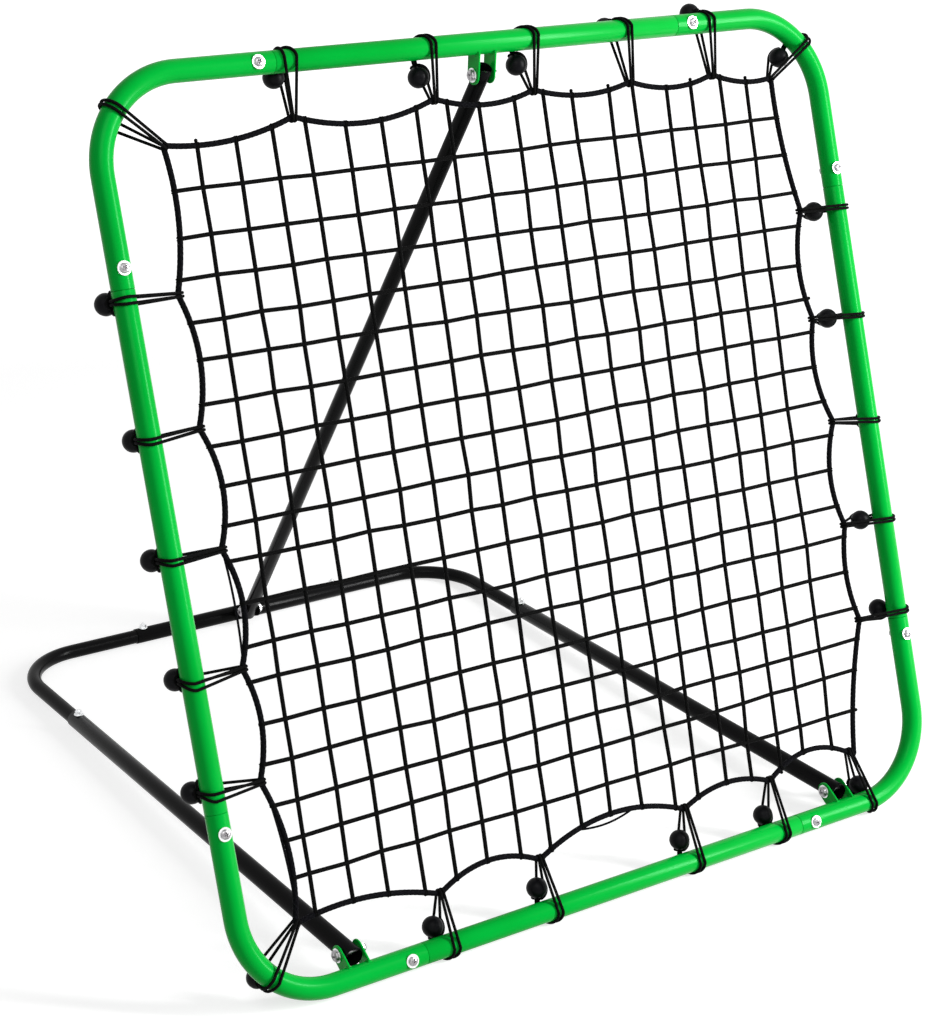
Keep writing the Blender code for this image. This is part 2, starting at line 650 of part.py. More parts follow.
def tie(name, place, along, inward, border_depth, border_shift, ball, parent, finish, margin=0.0, slack=0.0):
    """A ball and its elastic loop: two strands from the ball round the border, over the tube and back.

    The margin eases the loop over a bent tube. The slack carries it round a steeper corner of the border.
    """
    ball_angle, ball_stand_off, ball_shift = ball
    angle = math.radians(ball_angle)
    distance = FRAME_TUBE_RADIUS + BALL_RADIUS + BALL_SEAT + ball_stand_off + margin
    path = strand_path(border_depth, angle, distance, slack)
    strands = bmesh.new()
    for side in (-1, 1):
        spreads = [ball_shift + side * STRAND_SPREAD_IN_BALL / 2]
        spreads += [border_shift + side * STRAND_SPREAD_ON_NET / 2] * 3
        spreads += [side * STRAND_SPREAD / 2] * (len(path) - 5)
        spreads += [ball_shift + side * STRAND_SPREAD_IN_BALL / 2]
        grow = 1 + margin / FRAME_TUBE_RADIUS
        flat = [p * (grow if 4 <= k < len(path) - 1 else 1) for k, p in enumerate(path)]
        points = [place + inward * p.x + Y * p.y + along * s for p, s in zip(flat, spreads)]
        loft(strands, strand_rings(points, along))
    guide = add_object(f"{name}_strands", strands, parent)

    centre = place + (inward * math.cos(angle) + Y * math.sin(angle)) * distance + along * ball_shift
    build = bmesh.new()
    turn = Matrix((along, inward, along.cross(inward))).transposed().to_4x4()
    placed = Matrix.Translation(centre) @ turn
    bmesh.ops.create_icosphere(build, subdivisions=2, radius=BALL_RADIUS, matrix=placed)
    made = add_object(name, build, parent, finish)
    combine(made, guide, "UNION")
    return made


def ties(parent, finish):
    rows = {"top": (TOP_TIES, TOP_BALLS), "bottom": (BOTTOM_TIES, BOTTOM_BALLS),
            "left": (LEFT_TIES, LEFT_BALLS), "right": (RIGHT_TIES, RIGHT_BALLS)}
    for side, (places, balls) in rows.items():
        middle, along, inward = SIDES[side]
        for k, ((place, depth, _), ball) in enumerate(zip(places, balls), start=1):
            tie(f"tie_{side}_{k}", middle + along * place, along, inward, depth, 0, ball, parent, finish)
    for corner, (ball_angle, ball_stand_off) in CORNER_BALLS.items():
        sign_x, sign_u = CORNERS[corner]
        inset = HALF - FRAME_BEND_RADIUS
        outward = Vector((sign_x, 0, sign_u)).normalized()
        place = on_frame(sign_x * inset, HALF + sign_u * inset) + outward * FRAME_BEND_RADIUS
        along = outward.cross(Y)
        x, u = net_corner(corner)
        border = on_frame(x, HALF + u) - place
        tie(f"tie_corner_{corner}", place, along, -outward, -border.dot(outward), border.dot(along),
            (ball_angle, ball_stand_off, 0), parent, finish, CORNER_TIE_MARGIN, CORNER_TIE_SLACK)
    middle, along, inward = SIDES["bottom"]
    place = HALF - BOTTOM_RIGHT_TIE
    hold = net_corner("bottom_right")[0] - TIE_CLEARANCE_ON_NET
    depth = border_line("bottom", BOTTOM_TIES)[1](hold)
    tie("tie_corner_bottom_right", middle + along * place, along, inward, depth, hold - place,
        BOTTOM_RIGHT_BALL, parent, finish, slack=BOTTOM_RIGHT_SLACK)


def build_part():
    clear_scene()
    green = material("green_paint", (0.0, 0.42, 0.045), 0.35)
    black = material("black_paint", (0.012, 0.012, 0.014), 0.4)
    zinc = material("zinc_plated_steel", (0.72, 0.72, 0.74), 0.3, 1.0)
    cord = material("black_net_cord", (0.01, 0.01, 0.012), 0.85)
    elastic = material("black_ball_tie", (0.014, 0.014, 0.018), 0.5)

    base = empty("base_axis", PIVOT, BASE_TILT)
    frame = empty("frame_hinge", PIVOT, -FRAME_LEAN)

    for side in SIDES:
        tube = frame_tube(side, frame, green)
        if side == "top":
            pivot = on_frame(0, STRUT_PIVOT_UP, STRUT_PIVOT_BACK)
            add_clevis(tube, tube.name, 0, STRUT_EAR_X, SIDES["top"][0], FRAME_TUBE_RADIUS, pivot)
    for corner, (sign_x, sign_u) in CORNERS.items():
        frame_corner(corner, frame, green)
        vertical, across = corner.split("_")
        frame_bolt(f"frame_bolt_{corner}_{vertical}", vertical, sign_x, frame, zinc)
        frame_bolt(f"frame_bolt_{corner}_side", across, sign_u, frame, zinc)

    rear = rear_tube(base, black)
    for name, place, drill in base_tubes(base, black):
        base_bolt(name, place, base, zinc)
        if name.endswith("rear"):
            combine(rear, drill, "DIFFERENCE")

    for side, sign in (("left", -1), ("right", 1)):
        place = Vector((sign * LEG_X, 0, 0))
        end = LEG_EAR_X + EAR_THICKNESS + PIVOT_NUT_LENGTH + PIVOT_BOLT_END
        pivot_bolt(f"leg_pivot_bolt_{side}", place, LEG_EAR_X, end, frame, zinc)
        pivot_nut(f"leg_pivot_nut_{side}", place, LEG_EAR_X, frame, zinc)

    top = on_frame(0, STRUT_PIVOT_UP, STRUT_PIVOT_BACK)
    end = STRUT_EAR_X + EAR_THICKNESS + PIVOT_NUT_LENGTH + PIVOT_BOLT_END
    pivot_bolt("strut_top_bolt", top, STRUT_EAR_X, end, frame, zinc)
    pivot_nut("strut_top_nut", top, STRUT_EAR_X, frame, zinc)

    # The foot bolt is drawn out so that the strut can fold: only its ends stay in the plates
    pivot_bolt("strut_foot_bolt", foot_pivot(), STRUT_EAR_X, -STRUT_EAR_X, base, zinc)
    stub = bmesh.new()
    seat = STRUT_EAR_X + EAR_THICKNESS + GAP
    profile = ((STRUT_EAR_X, PIVOT_RADIUS), (seat, PIVOT_RADIUS), (seat, PIVOT_NUT_RADIUS),
               (seat + PIVOT_NUT_LENGTH, PIVOT_NUT_RADIUS))
    turned(stub, foot_pivot(), X, Y, profile)
    add_object("strut_foot_nut", stub, base, zinc)

    top_world = PIVOT + Matrix.Rotation(-FRAME_LEAN, 3, "X") @ top
    foot_world = PIVOT + Matrix.Rotation(BASE_TILT, 3, "X") @ foot_pivot()
    run = foot_world - top_world
    swing = empty("strut_hinge", top, math.atan2(run.y, -run.z) + FRAME_LEAN, frame)
    strut(swing, run.length, black)

    net(frame, cord)
    ties(frame, elastic)


build_part()
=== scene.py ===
"""Looks of the rebounder net: smooth painted tubes, real fasteners, the knotted net and its ball ties.

Places on the net frame are written as in the solids: x from its middle, u up the frame from the bottom tube's
centreline, and back, square to the frame away from the player. Lengths are in metres.
"""
import json
import random
from math import acos, asin, atan2, cos, hypot, pi, radians, sin, sqrt, tau

import bmesh
import bpy
from mathutils import Matrix, Vector


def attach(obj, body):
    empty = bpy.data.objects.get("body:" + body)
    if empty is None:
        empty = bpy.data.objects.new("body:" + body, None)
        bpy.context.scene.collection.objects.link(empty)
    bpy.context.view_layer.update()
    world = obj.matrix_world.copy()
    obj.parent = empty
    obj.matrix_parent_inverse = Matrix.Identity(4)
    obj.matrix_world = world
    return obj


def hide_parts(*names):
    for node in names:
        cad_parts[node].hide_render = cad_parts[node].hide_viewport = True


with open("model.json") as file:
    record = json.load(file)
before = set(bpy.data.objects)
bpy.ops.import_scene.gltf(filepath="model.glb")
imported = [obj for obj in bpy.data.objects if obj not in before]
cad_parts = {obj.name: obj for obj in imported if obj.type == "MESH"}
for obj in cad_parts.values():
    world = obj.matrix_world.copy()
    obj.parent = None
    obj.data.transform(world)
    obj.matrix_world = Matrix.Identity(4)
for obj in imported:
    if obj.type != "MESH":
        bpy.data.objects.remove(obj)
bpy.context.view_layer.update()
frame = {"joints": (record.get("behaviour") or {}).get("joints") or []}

# Net frame
FRAME_SIDE = 0.975
HALF = FRAME_SIDE / 2
FRAME_TUBE_RADIUS = 0.0125
FRAME_BEND_RADIUS = 0.100
FRAME_LEAN = radians(20.3)
FRAME_SEAM = 0.2145
FRAME_PLUG_LENGTH = 0.040
FRAME_PLUG_RADIUS = 0.0110
FRAME_BOLT_INSET = 0.0215
WALL = 0.0012
GAP = 0.0003
LIP = 0.0005

# Pivots on the net frame, from the bottom tube's centreline
LEG_PIVOT_UP = 0.0234
LEG_PIVOT_BACK = 0.0184
STRUT_PIVOT_DROP = 0.033
STRUT_PIVOT_BACK = 0.0125

# Base and strut
LEG_INSET = 0.1335
LEG_RADIUS = 0.011
LEG_NOSE = 0.012
BASE_REACH = 0.872
BASE_BEND_RADIUS = 0.0875
BASE_REAR_SEAM = 0.186
BASE_LEG_SEAM = 0.195
BASE_PLUG_LENGTH = 0.030
BASE_BOLT_INSET = 0.012
BASE_CORNER_RADIUS = 0.0095
STRUT_RADIUS = 0.0095
STRUT_NOSE = 0.010
FOOT_PIVOT_FORWARD = 0.029
FOOT_PIVOT_RISE = 0.014
LEG_X = HALF - LEG_INSET
LEG_END = BASE_REACH - BASE_LEG_SEAM
REAR_END = LEG_X - BASE_REAR_SEAM

# Clevis plates
EAR_WIDTH = 0.022
EAR_THICKNESS = 0.002
EAR_PLAY = 0.0005
EAR_ROOT_ANGLE = radians(68)
EAR_EDGE = 0.0005
WELD_RADIUS = 0.0013
WELD_ANGLE = radians(58)
WELD_RIPPLE = 0.0004

# Fasteners
WASHER_RADIUS = 0.0078
WASHER_THICKNESS = 0.0012
HEAD_RADIUS = 0.0054
HEAD_HEIGHT = 0.0030
FRAME_NUT_RADIUS = 0.0052
FRAME_NUT_LENGTH = 0.0055
BASE_NUT_RADIUS = 0.0048
BASE_NUT_HEIGHT = 0.0040
BASE_WASHER_RADIUS = 0.0062
BASE_BOLT_END = 0.0025
THREAD_RADIUS = 0.0025
THREAD_PITCH = 0.0008
PIVOT_RADIUS = 0.0040
PIVOT_HEAD_RADIUS = 0.0066
PIVOT_HEAD_LENGTH = 0.0045
PIVOT_WASHER_RADIUS = 0.0082
PIVOT_WASHER_THICKNESS = 0.0014
PIVOT_NUT_RADIUS = 0.0072
PIVOT_NUT_LENGTH = 0.0060
PIVOT_BOLT_END = 0.0020
# The collar of a pivot's nut: heights and radii as shares of the nut's
COLLAR = ((0.5, 0.74), (0.95, 0.74), (1, 0.66))
# The cross recess and the dome of a head, as shares of the head's radius and height
CROSS_HALF_WIDTH = 0.13
CROSS_REACH = 0.56
CROSS_DEPTH = 0.55
HEAD_RIM_HEIGHT = 0.25
HEAD_ROUNDNESS = 2.6

# Net
MESH_CORD_RADIUS = 0.0024
KNOT_RADIUS = 0.0029
KNOT_DRIFT = 0.0009
# Degrees that a knot lies aslant
KNOT_TURN = 45
KNOT_TURN_SPREAD = 12
BORDER_RADIUS = 0.0033
BORDER_LAY = (3, 0.016, 0.00025)
SLACK_CORD_RADIUS = 0.0013
WRAP_RADIUS = 0.0010
WRAP_SPREAD = 0.0011
WRAP_LEAN = 0.15
NUB_RADIUS = 0.0022
NUB_REACH = 0.0014
LONG_NUB_REACH = 0.0052
NUB_DRIFT = 0.001

# Elastic ball ties
BALL_RADIUS = 0.012
BALL_SEAT = 0.0008
BALL_SEAM = 0.00012
# The mouth at the ball's neck: heights above its rim, and radii as shares of the rim's
BALL_MOUTH = ((0.0006, 0.86), (0.0006, 0.72), (-0.0012, 0.62), (-0.0030, 0))
STRAND_RADIUS = 0.0017
STRAND_SPREAD_ON_NET = 0.0037
STRAND_SPREAD_IN_BALL = 0.0036
STRAND_IN_BALL = 0.8
BIGHT_REACH = 0.0040
BIGHT_LEAN = 0.5
LEG_APART = 0.30
LEG_END_SHARE = 0.87
CORNER_TIE_MARGIN = 0.0008

# How finely round things are drawn
TUBE_SIDES = 64
BEND_STEPS = 28
ROOT_STEPS = 12
NOSE_STEPS = 24
WELD_STEPS = 18
HEAD_SIDES = 48
HEAD_RINGS = 16
BALL_STEPS = 28
BORDER_STEP = 0.0016
SLACK_STEPS = 40
NECK_STEPS = 8
WRAP_STEPS = 26
ACROSS_STEPS = 12
LOOP_STEPS = 10
LEG_STEPS = 14
BIGHT_STEPS = 8

# Angles in degrees above which an edge shows sharp
TUBE_CREASE = 40
METAL_CREASE = 30
BALL_CREASE = 35
NET_CREASE = 60
ELASTIC_CREASE = 70

# Ties on each side. Of the border: the tie's place along the side, the depth there from the tube's
# centreline, and the sag before it. Of the ball: degrees round the tube from the net's side towards the back,
# extra distance, shift along the tube, and degrees from the back along the tube at which the bight passes
# over it. Of the two strands on the tube: their distance, and their shift from the border's cusp.
TIES = {
    "top": (
        (-0.258, 0.059, 0.01, 57, 0, -0.003, 60, 0.015, 0.002),
        (-0.077, 0.056, 0.016, 16, 0.006, -0.01, 65, 0.0064, 0.0025),
        (0.0585, 0.0575, 0.0115, 18, 0.003, -0.012, 65, 0.0062, 0.0065),
        (0.1975, 0.06, 0.0105, 108, 0, -0.006, 50, 0.006, 0.002),
        (0.322, 0.0615, 0.011, 127, 0, -0.003, 50, 0.0082, 0.002),
    ),
    "bottom": (
        (-0.239, 0.058, 0.013, 32, 0, -0.009, 55, 0.0078, 0.002),
        (-0.103, 0.0595, 0.0185, 18, 0.003, -0.005, 55, 0.0066, 0.0075),
        (0.109, 0.063, 0.024, 18, 0.003, -0.008, 55, 0.0066, 0.004),
        (0.243, 0.063, 0.015, 30, 0, -0.009, 55, 0.0066, 0.005),
    ),
    "left": (
        (-0.254, 0.056, 0.013, 121, 0, 0.004, 0, 0.0078, -0.001),
        (-0.133, 0.058, 0.0125, 109, 0, 0.002, -20, 0.0074, -0.005),
        (-0.0065, 0.0585, 0.014, 116, 0, 0.002, -20, 0.0054, -0.002),
        (0.121, 0.0575, 0.0145, 105, 0, -0.001, -20, 0.0054, -0.004),
        (0.26, 0.06, 0.0135, 116, 0, 0.002, 0, 0.007, 0.002),
    ),
    "right": (
        (-0.263, 0.0635, 0.006, 70, 0, 0.002, -60, 0.004, -0.0025),
        (-0.143, 0.064, 0.0105, 15, 0.006, 0, 0, 0.004, -0.0055),
        (-0.0135, 0.0575, 0.015, 130, 0, -0.008, 0, 0.0044, -0.009),
        (0.116, 0.065, 0.0135, 13, 0.01, -0.003, 0, 0.0038, -0.006),
        (0.249, 0.0585, 0.0135, 15, 0.006, -0.003, 0, 0.004, -0.003),
    ),
}
# The sag after each side's last tie
LAST_SAG = {"top": 0.007, "bottom": 0.023, "left": 0.0095, "right": 0.006}

# The net's corners: across and up from the nearest tubes' centrelines
NET_CORNERS = {
    "top_left": (0.0725, 0.0745),
    "top_right": (0.074, 0.073),
    "bottom_left": (0.0675, 0.076),
    "bottom_right": (0.106, 0.061),
}
# Ties on the bends: degrees round the bend from the side tube, the ball's row, and the strands' distance
CORNER_TIES = {
    "top_left": (41, (74, 0, 0, 0), 0.0060),
    "top_right": (38, (14, 0.004, 0.009, 0), 0.0056),
    "bottom_left": (45, (100, 0.001, 0, 0), 0.0080),
}
# The bottom right corner's tie sits on the bottom tube: its distance from the side tube, and from the cusp
BOTTOM_RIGHT_TIE = 0.0965
BOTTOM_RIGHT_BALL = (47, 0, 0.006, 0)
BOTTOM_RIGHT_SPREAD = 0.0070
BOTTOM_RIGHT_HOLD = 0.008

# Where cords meet the border, in millimetres: x along the top and bottom, u up the left and right
CORDS = {
    "top": (-376, -330, -285, -244, -195, -149, -102, -61, -19, 30, 71, 111, 165, 200, 250, 287, 333, 373),
    "bottom": (-394, -347, -303, -257, -215, -172, -127, -86, -39, 3, 49, 97, 132, 177, 216, 263, 301, 348),
    "left": (124, 165, 205, 250, 292, 338, 375, 421, 467, 504, 545, 588, 632, 678, 717, 762, 804, 853),
    "right": (116, 165, 202, 240, 287, 331, 370, 416, 458, 501, 545, 588, 629, 671, 719, 760, 807, 853),
}
# Cords whose ends stand out further, by their number along the side
LONG_NUBS = {"top": (0, 11, 12, 15, 17), "left": (), "right": (0, 12), "bottom": (15,)}
# Slack lengths of thin cord beside the border: side, from, to, and how far they hang out
SLACK_CORDS = (("left", -0.126, -0.010, 0.0095), ("bottom", -0.045, 0.036, 0.0095),
               ("left", -0.390, -0.272, 0.0050))

# The floor, the world's light on the object, and the lamps: place, target, size and watts
FLOOR_REACH = 14
FLOOR_DROP = 0.0004
FLOOR_COLOUR = (0.55, 0.55, 0.55, 1)
FLOOR_GLOW = (0.70, 1.0)
FLOOR_GLOW_PLACES = (1.2, 2.8)
WORLD_LEVEL = 0.22
LAMPS = {
    "key_light": ((2.5, -3.1, 1.7), (0, -0.6, 0.5), (0.42, 2.4), 175),
    "fill_light": ((-1.6, -2.9, 3.2), (0, -0.5, 0.4), (1.8, 1.8), 32),
}
CAMERA_PLACE = (-1.4911, -2.6729, 1.4024)
CAMERA_AZIMUTH = radians(35.455)
CAMERA_DIP = radians(21.872)
CAMERA_ROLL = radians(2.224)
CAMERA_LENS = 80.85
CAMERA_SENSOR = 36
CAMERA_FAR = 60

X = Vector((1, 0, 0))
Y = Vector((0, 1, 0))
Z = Vector((0, 0, 1))

joint_place = {joint["name"]: Vector(joint["pos_m"]) for joint in frame["joints"]}
PIVOT = joint_place["frame_fold"]
STRUT_TOP = joint_place["strut_fold"]
REAR_HEIGHT = LEG_RADIUS * cos(pi / 12)
BASE_TILT = -asin((PIVOT.z - REAR_HEIGHT) / BASE_REACH)
# Each body's own axes, in which its pieces are drawn
BODY_AXES = {
    "net_frame": Matrix.Translation(PIVOT) @ Matrix.Rotation(-FRAME_LEAN, 4, "X"),
    "base": Matrix.Translation(PIVOT) @ Matrix.Rotation(BASE_TILT, 4, "X"),
    "strut": Matrix.Identity(4),
}


def on_frame(x, u, back=0.0):
    """A place on the net frame, in the frame's own axes with the leg pivot at zero."""
    return Vector((x, back - LEG_PIVOT_BACK, u - LEG_PIVOT_UP))


TOP_PIVOT = on_frame(0, FRAME_SIDE - STRUT_PIVOT_DROP, STRUT_PIVOT_BACK)
FOOT_PIVOT = Vector((0, BASE_REACH - FOOT_PIVOT_FORWARD, FOOT_PIVOT_RISE))

# A side's middle, the way along it, and the way inwards; a corner's signs of x and u
SIDES = {
    "top": (on_frame(0, FRAME_SIDE), X, -Z),
    "bottom": (on_frame(0, 0), X, Z),
    "left": (on_frame(-HALF, HALF), Z, X),
    "right": (on_frame(HALF, HALF), Z, -X),
}
CORNERS = {"top_left": (-1, 1), "top_right": (1, 1), "bottom_left": (-1, -1), "bottom_right": (1, -1)}


# Materials. Scales are in repeats per metre, and bump heights in metres.


class Nodes:
    """A node tree, built one node at a time."""

    def __init__(self, tree):
        self.tree = tree

    def node(self, kind, values=(), **settings):
        made = self.tree.nodes.new(kind)
        for key, value in settings.items():
            setattr(made, key, value)
        for key, value in dict(values).items():
            self.feed(made, key, value)
        return made

    def feed(self, node, key, value):
        if isinstance(value, bpy.types.NodeSocket):
            self.tree.links.new(value, node.inputs[key])
        else:
            node.inputs[key].default_value = value

    def math(self, operation, *values):
        return self.node("ShaderNodeMath", enumerate(values), operation=operation).outputs[0]

    def spread(self, value, low, high, start=0.0, end=1.0):
        """A value from start to end, mapped to low to high."""
        values = {"Value": value, "From Min": start, "From Max": end, "To Min": low, "To Max": high}
        return self.node("ShaderNodeMapRange", values).outputs["Result"]

    def rise(self, value, start, end):
        """0 to 1 as the value goes from start to end."""
        return self.spread(value, 0.0, 1.0, start, end)

    def seen(self):
        """1 for what is seen, also mirrored or through glass, and 0 for what lights the object."""
        path = self.node("ShaderNodeLightPath")
        direct = self.math("MAXIMUM", path.outputs["Is Camera Ray"], path.outputs["Is Glossy Ray"])
        return self.math("MAXIMUM", direct, path.outputs["Is Transmission Ray"])


class Paint(Nodes):
    """A surface's material."""

    def __init__(self, name):
        self.material = bpy.data.materials.new(name)
        self.material.use_nodes = True
        super().__init__(self.material.node_tree)
        self.shader = self.tree.nodes["Principled BSDF"]

    def place(self):
        return self.node("ShaderNodeTexCoord").outputs["Object"]

    def noise(self, scale, detail, vector=None, roughness=0.5):
        values = {"Scale": scale, "Detail": detail, "Roughness": roughness, "Vector": vector or self.place()}
        return self.node("ShaderNodeTexNoise", values).outputs["Fac"]

    def mix(self, share, first, second):
        made = self.node("ShaderNodeMix", data_type="RGBA")
        for socket, value in ((0, share), (6, first), (7, second)):
            self.feed(made, socket, value)
        return made.outputs[2]

    def bump(self, height, strength, distance, **under):
        values = {"Height": height, "Strength": strength, "Distance": distance, **under}
        return self.node("ShaderNodeBump", values).outputs["Normal"]

    def finish(self, **values):
        for key, value in values.items():
            self.feed(self.shader, key.replace("_", " "), value)
        return self.material


def powder_coat(name, colour, deep, scuff, level, tint):
    """A baked powder coat: faint orange peel, patches of unlike gloss, and a few fine rubbed marks."""
    paint = Paint(name)
    patches = paint.noise(9.0, detail=3.0)
    peel = paint.noise(620.0, detail=1.0)
    specks = paint.noise(2400.0, detail=0.0)
    stretched = paint.node("ShaderNodeMapping", {"Vector": paint.place(), "Scale": (60.0, 60.0, 900.0)})
    marks = paint.noise(1.0, detail=4.0, vector=stretched.outputs[0], roughness=0.7)
    handled = paint.noise(16.0, detail=2.0)
    rub = paint.math("MULTIPLY", paint.rise(marks, 0.70, 0.78), paint.rise(handled, 0.5, 0.62))
    tone = paint.mix(paint.rise(patches, 0.3, 0.7), (*deep, 1), (*colour, 1))
    tone = paint.mix(paint.math("MULTIPLY", rub, 0.45), tone, (*scuff, 1))
    gloss = paint.math("ADD", paint.spread(patches, 0.20, 0.29), paint.math("MULTIPLY", rub, 0.25))
    grain = paint.bump(specks, strength=0.10, distance=0.00004)
    surface = paint.bump(peel, strength=0.22, distance=0.00018, Normal=grain)
    return paint.finish(Base_Color=tone, Roughness=gloss, Normal=surface, Specular_IOR_Level=level,
                        Specular_Tint=(*tint, 1))


def plated_steel(name, bright, dull):
    """Zinc plate: a fine crystalline mottle, with a duller film in places."""
    paint = Paint(name)
    cells = paint.node("ShaderNodeTexVoronoi", {"Vector": paint.place(), "Scale": 1500.0})
    mottle = cells.outputs["Distance"]
    film = paint.noise(240.0, detail=3.0)
    tone = paint.mix(paint.rise(film, 0.35, 0.7), (*bright, 1), (*dull, 1))
    cloud = paint.math("ADD", film, paint.math("MULTIPLY", mottle, 0.3))
    return paint.finish(Base_Color=tone, Roughness=paint.spread(cloud, 0.16, 0.40, start=0.3, end=0.9),
                        Normal=paint.bump(mottle, strength=0.5, distance=0.00012), Metallic=1.0)


def plaited_cord(name, dark, light, plaits, pitch, depth):
    """Plaited cord: two families of yarns that cross as they wind round it, with a few pale fibres."""
    paint = Paint(name)
    along = paint.node("ShaderNodeSeparateXYZ", {"Vector": paint.node("ShaderNodeUVMap").outputs[0]})
    turn = paint.math("MULTIPLY", along.outputs[0], tau * plaits)
    run = paint.math("MULTIPLY", along.outputs[1], tau / pitch)
    first = paint.math("SINE", paint.math("ADD", turn, run))
    second = paint.math("SINE", paint.math("SUBTRACT", turn, run))
    weave = paint.math("MAXIMUM", first, second)
    fuzz = paint.noise(2600.0, detail=3.0)
    height = paint.math("ADD", weave, paint.math("MULTIPLY", fuzz, 0.8))
    yarns = paint.noise(700.0, detail=4.0, roughness=0.8)
    fibres = paint.rise(yarns, 0.55, 0.75)
    worn = paint.math("MULTIPLY", fibres, paint.rise(weave, 0.2, 1.0))
    return paint.finish(Base_Color=paint.mix(worn, (*dark, 1), (*light, 1)),
                        Roughness=paint.spread(fuzz, 0.62, 0.86),
                        Normal=paint.bump(height, strength=0.7, distance=depth), Specular_IOR_Level=0.045)


def moulded_plastic(name, dark, light):
    """Satin moulding: a fine spark-eroded grain and handling marks."""
    paint = Paint(name)
    grain = paint.noise(1900.0, detail=2.0)
    marks = paint.noise(130.0, detail=4.0, roughness=0.7)
    tone = paint.mix(paint.rise(marks, 0.4, 0.75), (*dark, 1), (*light, 1))
    return paint.finish(Base_Color=tone, Roughness=paint.spread(marks, 0.30, 0.52),
                        Normal=paint.bump(grain, strength=0.25, distance=0.00006), Specular_IOR_Level=0.07)


green_coat = powder_coat("green_powder_coat", colour=(0.0, 0.47, 0.045), deep=(0.0, 0.41, 0.034),
                         scuff=(0.02, 0.52, 0.12), level=0.10, tint=(0.32, 1.0, 0.58))
black_coat = powder_coat("black_powder_coat", colour=(0.003, 0.003, 0.0035), deep=(0.002, 0.002, 0.002),
                         scuff=(0.07, 0.07, 0.08), level=0.06, tint=(1.0, 1.0, 1.0))
zinc = plated_steel("bright_zinc_plate", (0.86, 0.87, 0.88), (0.70, 0.71, 0.71))
dull_zinc = plated_steel("dull_zinc_plate", (0.46, 0.45, 0.46), (0.22, 0.21, 0.22))
net_cord = plaited_cord("black_net_cord", (0.002, 0.002, 0.002), (0.008, 0.008, 0.009), plaits=4,
                        pitch=0.0052, depth=0.0003)
rope = plaited_cord("black_border_rope", (0.002, 0.002, 0.003), (0.04, 0.04, 0.05), plaits=5,
                    pitch=0.0064, depth=0.0004)
elastic = plaited_cord("black_elastic_cord", (0.002, 0.002, 0.002), (0.03, 0.03, 0.034), plaits=6,
                       pitch=0.0036, depth=0.0002)
ball_plastic = moulded_plastic("black_ball_plastic", (0.002, 0.002, 0.003), (0.006, 0.006, 0.007))


# Mesh tools


def angles(count):
    """Angles evenly round a circle."""
    return [tau * k / count for k in range(count)]


def circle(radius, height, count):
    """Points evenly round a circle about Z."""
    return [Vector((radius * cos(a), radius * sin(a), height)) for a in angles(count)]


def put(name, data):
    """Puts an object in the scene."""
    made = bpy.data.objects.new(name, data)
    bpy.context.scene.collection.objects.link(made)
    return made


